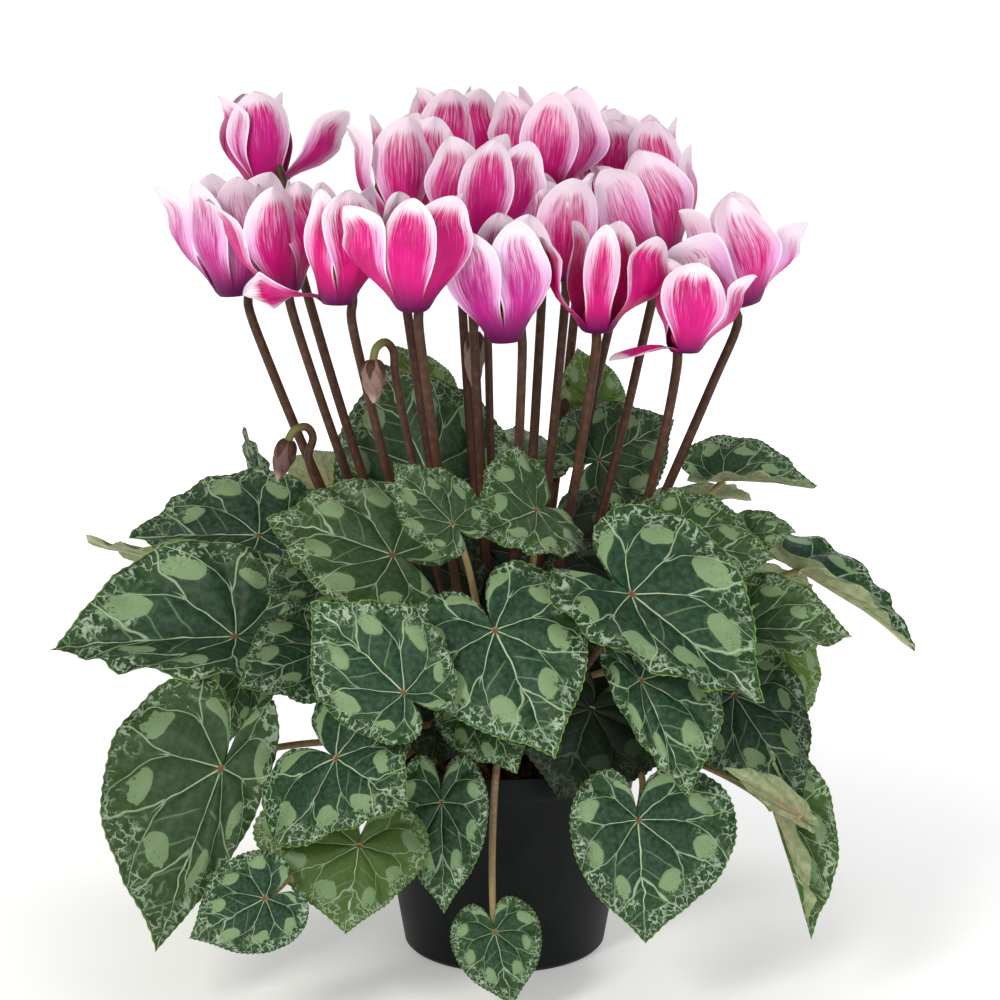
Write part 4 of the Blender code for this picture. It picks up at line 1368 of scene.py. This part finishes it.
def potMaterial():
    # injection-moulded nursery pot: matte charcoal plastic with faint scuffs
    material, tree, shader = newMaterial("matte_charcoal_plastic", 0.5, 0.15)
    place = addNode(tree, "TexCoord", out=3)
    wide = addNode(tree, "TexNoise", {"Vector": place, "Scale": 60.0, "Detail": 3})
    fine = addNode(tree, "TexNoise", {"Vector": place, "Scale": 1400.0})
    base = blotched(tree, "#0D1112", "#15191A", wide, 0.35, 0.7)
    base = coat(
        tree, base, "#34393A",
        addNode(tree, "MapRange", (fine, 0.62, 0.8), interpolation_type="SMOOTHSTEP"), 0.4,
    )
    tree.links.new(base, shader.inputs["Base Color"])
    rough = addNode(tree, "Math", (wide, 0.2, 0.42), operation="MULTIPLY_ADD")
    tree.links.new(rough, shader.inputs["Roughness"])
    raised(tree, shader, fine, 0.08, 0.6)
    return material


makePot(potMaterial())

soil = {
    # distance out and height of the ring's section, from its outer foot round to its inner foot
    "section": (
        (0, 42.4, 3.0), (3, 54.9, 76.6), (3.4, 55.1, 77.4), (4, 50, 78.4), (5, 43, 78),
        (5.6, 38.2, 77), (6, 37.4, 73), (7, 37.4, 71.5), (8, 30, 62), (9, 12, 58.8), (10, 0, 3.0),
    ),
    "columns": 180,
    "rows": 60,
    "crumbs": 420,
    "crumbRadius": (0.5, 1.5),
    "crumbRing": (39, 53.5),  # how far out they lie
    "crumbHeight": 78.6,
}


def makeSoil(material):
    section = soil["section"]
    last = section[-2][0]

    def place(column, row):
        share = last * row / soil["rows"]
        radius = alongTable([stop[:2] for stop in section], share)
        height = alongTable([(stop[0], stop[2]) for stop in section], share)
        angle = 2 * math.pi * column / soil["columns"]
        point = Vector((radius * math.cos(angle), radius * math.sin(angle), height))
        onTop = eased(share, 3.1, 3.6) * eased(share, 6.2, 5.6)
        lumps = noise.noise(point * 0.35) * 1.3 + noise.noise(point * 0.9) * 0.9
        point.z += onTop * (lumps + 0.4)
        return point, (column / 20, share), (column / soil["columns"], share)

    bm = newSheet()
    drawSheet(bm, soil["columns"], soil["rows"], place, (0, 0, 0, 1))
    bmesh.ops.remove_doubles(bm, verts=bm.verts, dist=0.002)
    rims = [edge for edge in bm.edges if edge.is_boundary]
    bmesh.ops.holes_fill(bm, edges=rims, sides=0)
    makePiece("soil_bed", bm, [material], "soil", sharp=60)

    random.seed(31)
    bm = newSheet()
    for index in range(soil["crumbs"]):
        angle, radius = random.uniform(0, 6.283), random.uniform(*soil["crumbRing"])
        centre = (radius * math.cos(angle), radius * math.sin(angle), soil["crumbHeight"])
        spot = Matrix.Translation(centre)
        turn = Matrix.Rotation(random.uniform(0, 6), 4, Vector((random.random(), random.random(), 1)))
        stretch = Matrix.Diagonal((random.uniform(0.6, 1.4), random.uniform(0.6, 1.2), 0.8, 1))
        size = random.uniform(*soil["crumbRadius"])
        bmesh.ops.create_icosphere(bm, subdivisions=1, radius=size, matrix=spot @ turn @ stretch)
    makePiece("soil_crumbs", bm, [material], None, sharp=30)


def soilMaterial():
    # peat potting mix: dark brown crumbs, with some lighter fibres and grit
    material, tree, shader = newMaterial("peat_potting_mix", 0.95, 0.15)
    place = addNode(tree, "TexCoord", out=3)
    lumps = addNode(
        tree, "TexNoise",
        {"Vector": place, "Scale": 180.0, "Detail": 5, "Roughness": 0.65},
    )
    grit = addNode(tree, "TexVoronoi", {"Vector": place, "Scale": 420.0})
    base = blotched(tree, "#1D140E", "#4A3626", lumps, 0.35, 0.7)
    base = coat(
        tree, base, "#7A6147",
        addNode(tree, "MapRange", (grit, 0.16, 0.05), interpolation_type="SMOOTHSTEP"), 0.7,
    )
    tree.links.new(base, shader.inputs["Base Color"])
    raised(
        tree, shader,
        addNode(
            tree, "Math",
            (lumps, addNode(tree, "Math", (grit, -0.5), operation="MULTIPLY")), operation="ADD",
        ),
        1.2, 1.0,
    )
    return material


makeSoil(soilMaterial())

tuber = {
    "radius": 36.7,
    "middle": 72.0,
    "top": 84.0,
    "depth": 11.5,
    "columns": 120,
    "rows": 64,
}


def makeTuber(material):
    def place(column, row):
        share = row / tuber["rows"]
        angle = 2 * math.pi * column / tuber["columns"]
        if share < 0.4:
            turn = math.pi / 2 * share / 0.4
            radius = tuber["radius"] * math.sin(turn)
            height = tuber["middle"] - tuber["depth"] * math.cos(turn)
        else:
            radius = tuber["radius"] * math.cos(math.pi / 2 * (share - 0.4) / 0.6)
            flat = (1 - (radius / tuber["radius"]) ** 3.2) ** (1 / 3.2)
            height = tuber["middle"] + (tuber["top"] - tuber["middle"]) * flat
        point = Vector((radius * math.cos(angle), radius * math.sin(angle), height))
        rough = noise.noise(point * 0.16) * 0.9 + noise.noise(point * 0.5) * 0.45
        if share > 0.42:
            point.z += rough - 0.5
        return point, (column / 30, share * 2), (column / tuber["columns"], share)

    bm = newSheet()
    drawSheet(bm, tuber["columns"], tuber["rows"], place, (0, 0, 0, 1))
    makePiece("tuber_skin", bm, [material], "tuber", sharp=60)


def tuberMaterial():
    # corky brown tuber with cracked skin
    material, tree, shader = newMaterial("corky_tuber_skin", 0.85, 0.25)
    place = addNode(tree, "TexCoord", out=3)
    cork = addNode(
        tree, "TexNoise",
        {"Vector": place, "Scale": 220.0, "Detail": 5, "Roughness": 0.7},
    )
    crack = addNode(tree, "TexVoronoi", {"Vector": place, "Scale": 150.0}, feature="DISTANCE_TO_EDGE")
    base = blotched(tree, "#3E2A1E", "#7C5B42", cork, 0.3, 0.7)
    base = coat(
        tree, base, "#241811",
        addNode(tree, "MapRange", (crack, 0.08, 0.01), interpolation_type="SMOOTHSTEP"), 0.8,
    )
    tree.links.new(base, shader.inputs["Base Color"])
    raised(
        tree, shader,
        addNode(
            tree, "Math",
            (cork, addNode(tree, "MapRange", (crack, 0.0, 0.1), interpolation_type="SMOOTHSTEP")),
            operation="ADD",
        ),
        0.8, 0.9,
    )
    return material


makeTuber(tuberMaterial())
print("pot, soil and tuber done")

# Floor, light and camera
studio = {
    "floor": 30.0,  # metres across
    "glow": 0.3,  # light that the floor gives by itself, and more of it far from the lamps
    "near": (0.1, 0.8),  # metres from the plant between which that comes in
    "target": (-0.002, 0.0, 0.199),
    "distance": 1.3,
    "raised": 12,  # degrees the camera looks down
    "lens": 108.84,
}


def makeFloor():
    material, tree, shader = newMaterial("pale_studio_floor", 0.9, 0.1)
    place = addNode(tree, "TexCoord", out=3)
    tone = addNode(
        tree, "Mix",
        {
            0: addNode(tree, "TexNoise", {"Vector": place, "Scale": 3.0}), 6: colour("#F4F4F4"),
            7: colour("#FAFAFA"),
        },
        2, data_type="RGBA",
    )
    tree.links.new(tone, shader.inputs["Base Color"])
    shader.inputs["Emission Color"].default_value = (1, 1, 1, 1)
    away = addNode(tree, "VectorMath", {0: place}, 1, operation="LENGTH")
    glow = addNode(
        tree, "Math",
        (
            addNode(tree, "MapRange", (away, *studio["near"]), interpolation_type="SMOOTHSTEP"),
            0.45, studio["glow"],
        ),
        operation="MULTIPLY_ADD",
    )
    tree.links.new(glow, shader.inputs["Emission Strength"])
    bm = bmesh.new()
    bmesh.ops.create_circle(bm, cap_ends=True, segments=96, radius=studio["floor"] / 2)
    mesh = bpy.data.meshes.new("floor")
    bm.to_mesh(mesh)
    bm.free()
    mesh.materials.append(material)
    floor = bpy.data.objects.new("floor", mesh)
    bpy.context.scene.collection.objects.link(floor)


def addLight(name, place, size, power, tint="#FFFFFF"):
    light = bpy.data.lights.new(name, "AREA")
    light.shape = "DISK"
    light.size = size
    light.energy = power
    light.color = colour(tint)[:3]
    lamp = bpy.data.objects.new(name, light)
    lamp.location = place
    aim = Vector(studio["target"]) - Vector(place)
    lamp.rotation_euler = aim.to_track_quat("-Z", "Y").to_euler()
    bpy.context.scene.collection.objects.link(lamp)


makeFloor()
addLight("key", (-0.9, -1.5, 1.2), 0.6, 19, "#FFFBF5")
addLight("fill", (0.9, -1.6, 0.6), 1.2, 9, "#F6FAFF")
addLight("top", (0.1, 0.3, 1.7), 0.9, 5)
addLight("rim", (0.6, 1.3, 0.9), 0.9, 4)
world = bpy.data.worlds.new("studio")
world.use_nodes = True
background = world.node_tree.nodes["Background"]
background.inputs["Color"].default_value = (1, 1, 1, 1)
background.inputs["Strength"].default_value = 0.3
bpy.context.scene.world = world

look = bpy.data.cameras.new("camera")
look.lens = studio["lens"]
look.sensor_width = 36
look.clip_end = 60
camera = bpy.data.objects.new("camera", look)
tilt = math.radians(studio["raised"])
offset = Vector((0, -math.cos(tilt), math.sin(tilt))) * studio["distance"]
camera.location = Vector(studio["target"]) + offset
camera.rotation_euler = (-offset).to_track_quat("-Z", "Y").to_euler()
bpy.context.scene.collection.objects.link(camera)
bpy.context.scene.camera = camera
bpy.context.scene.view_settings.view_transform = "Standard"

print("all done")
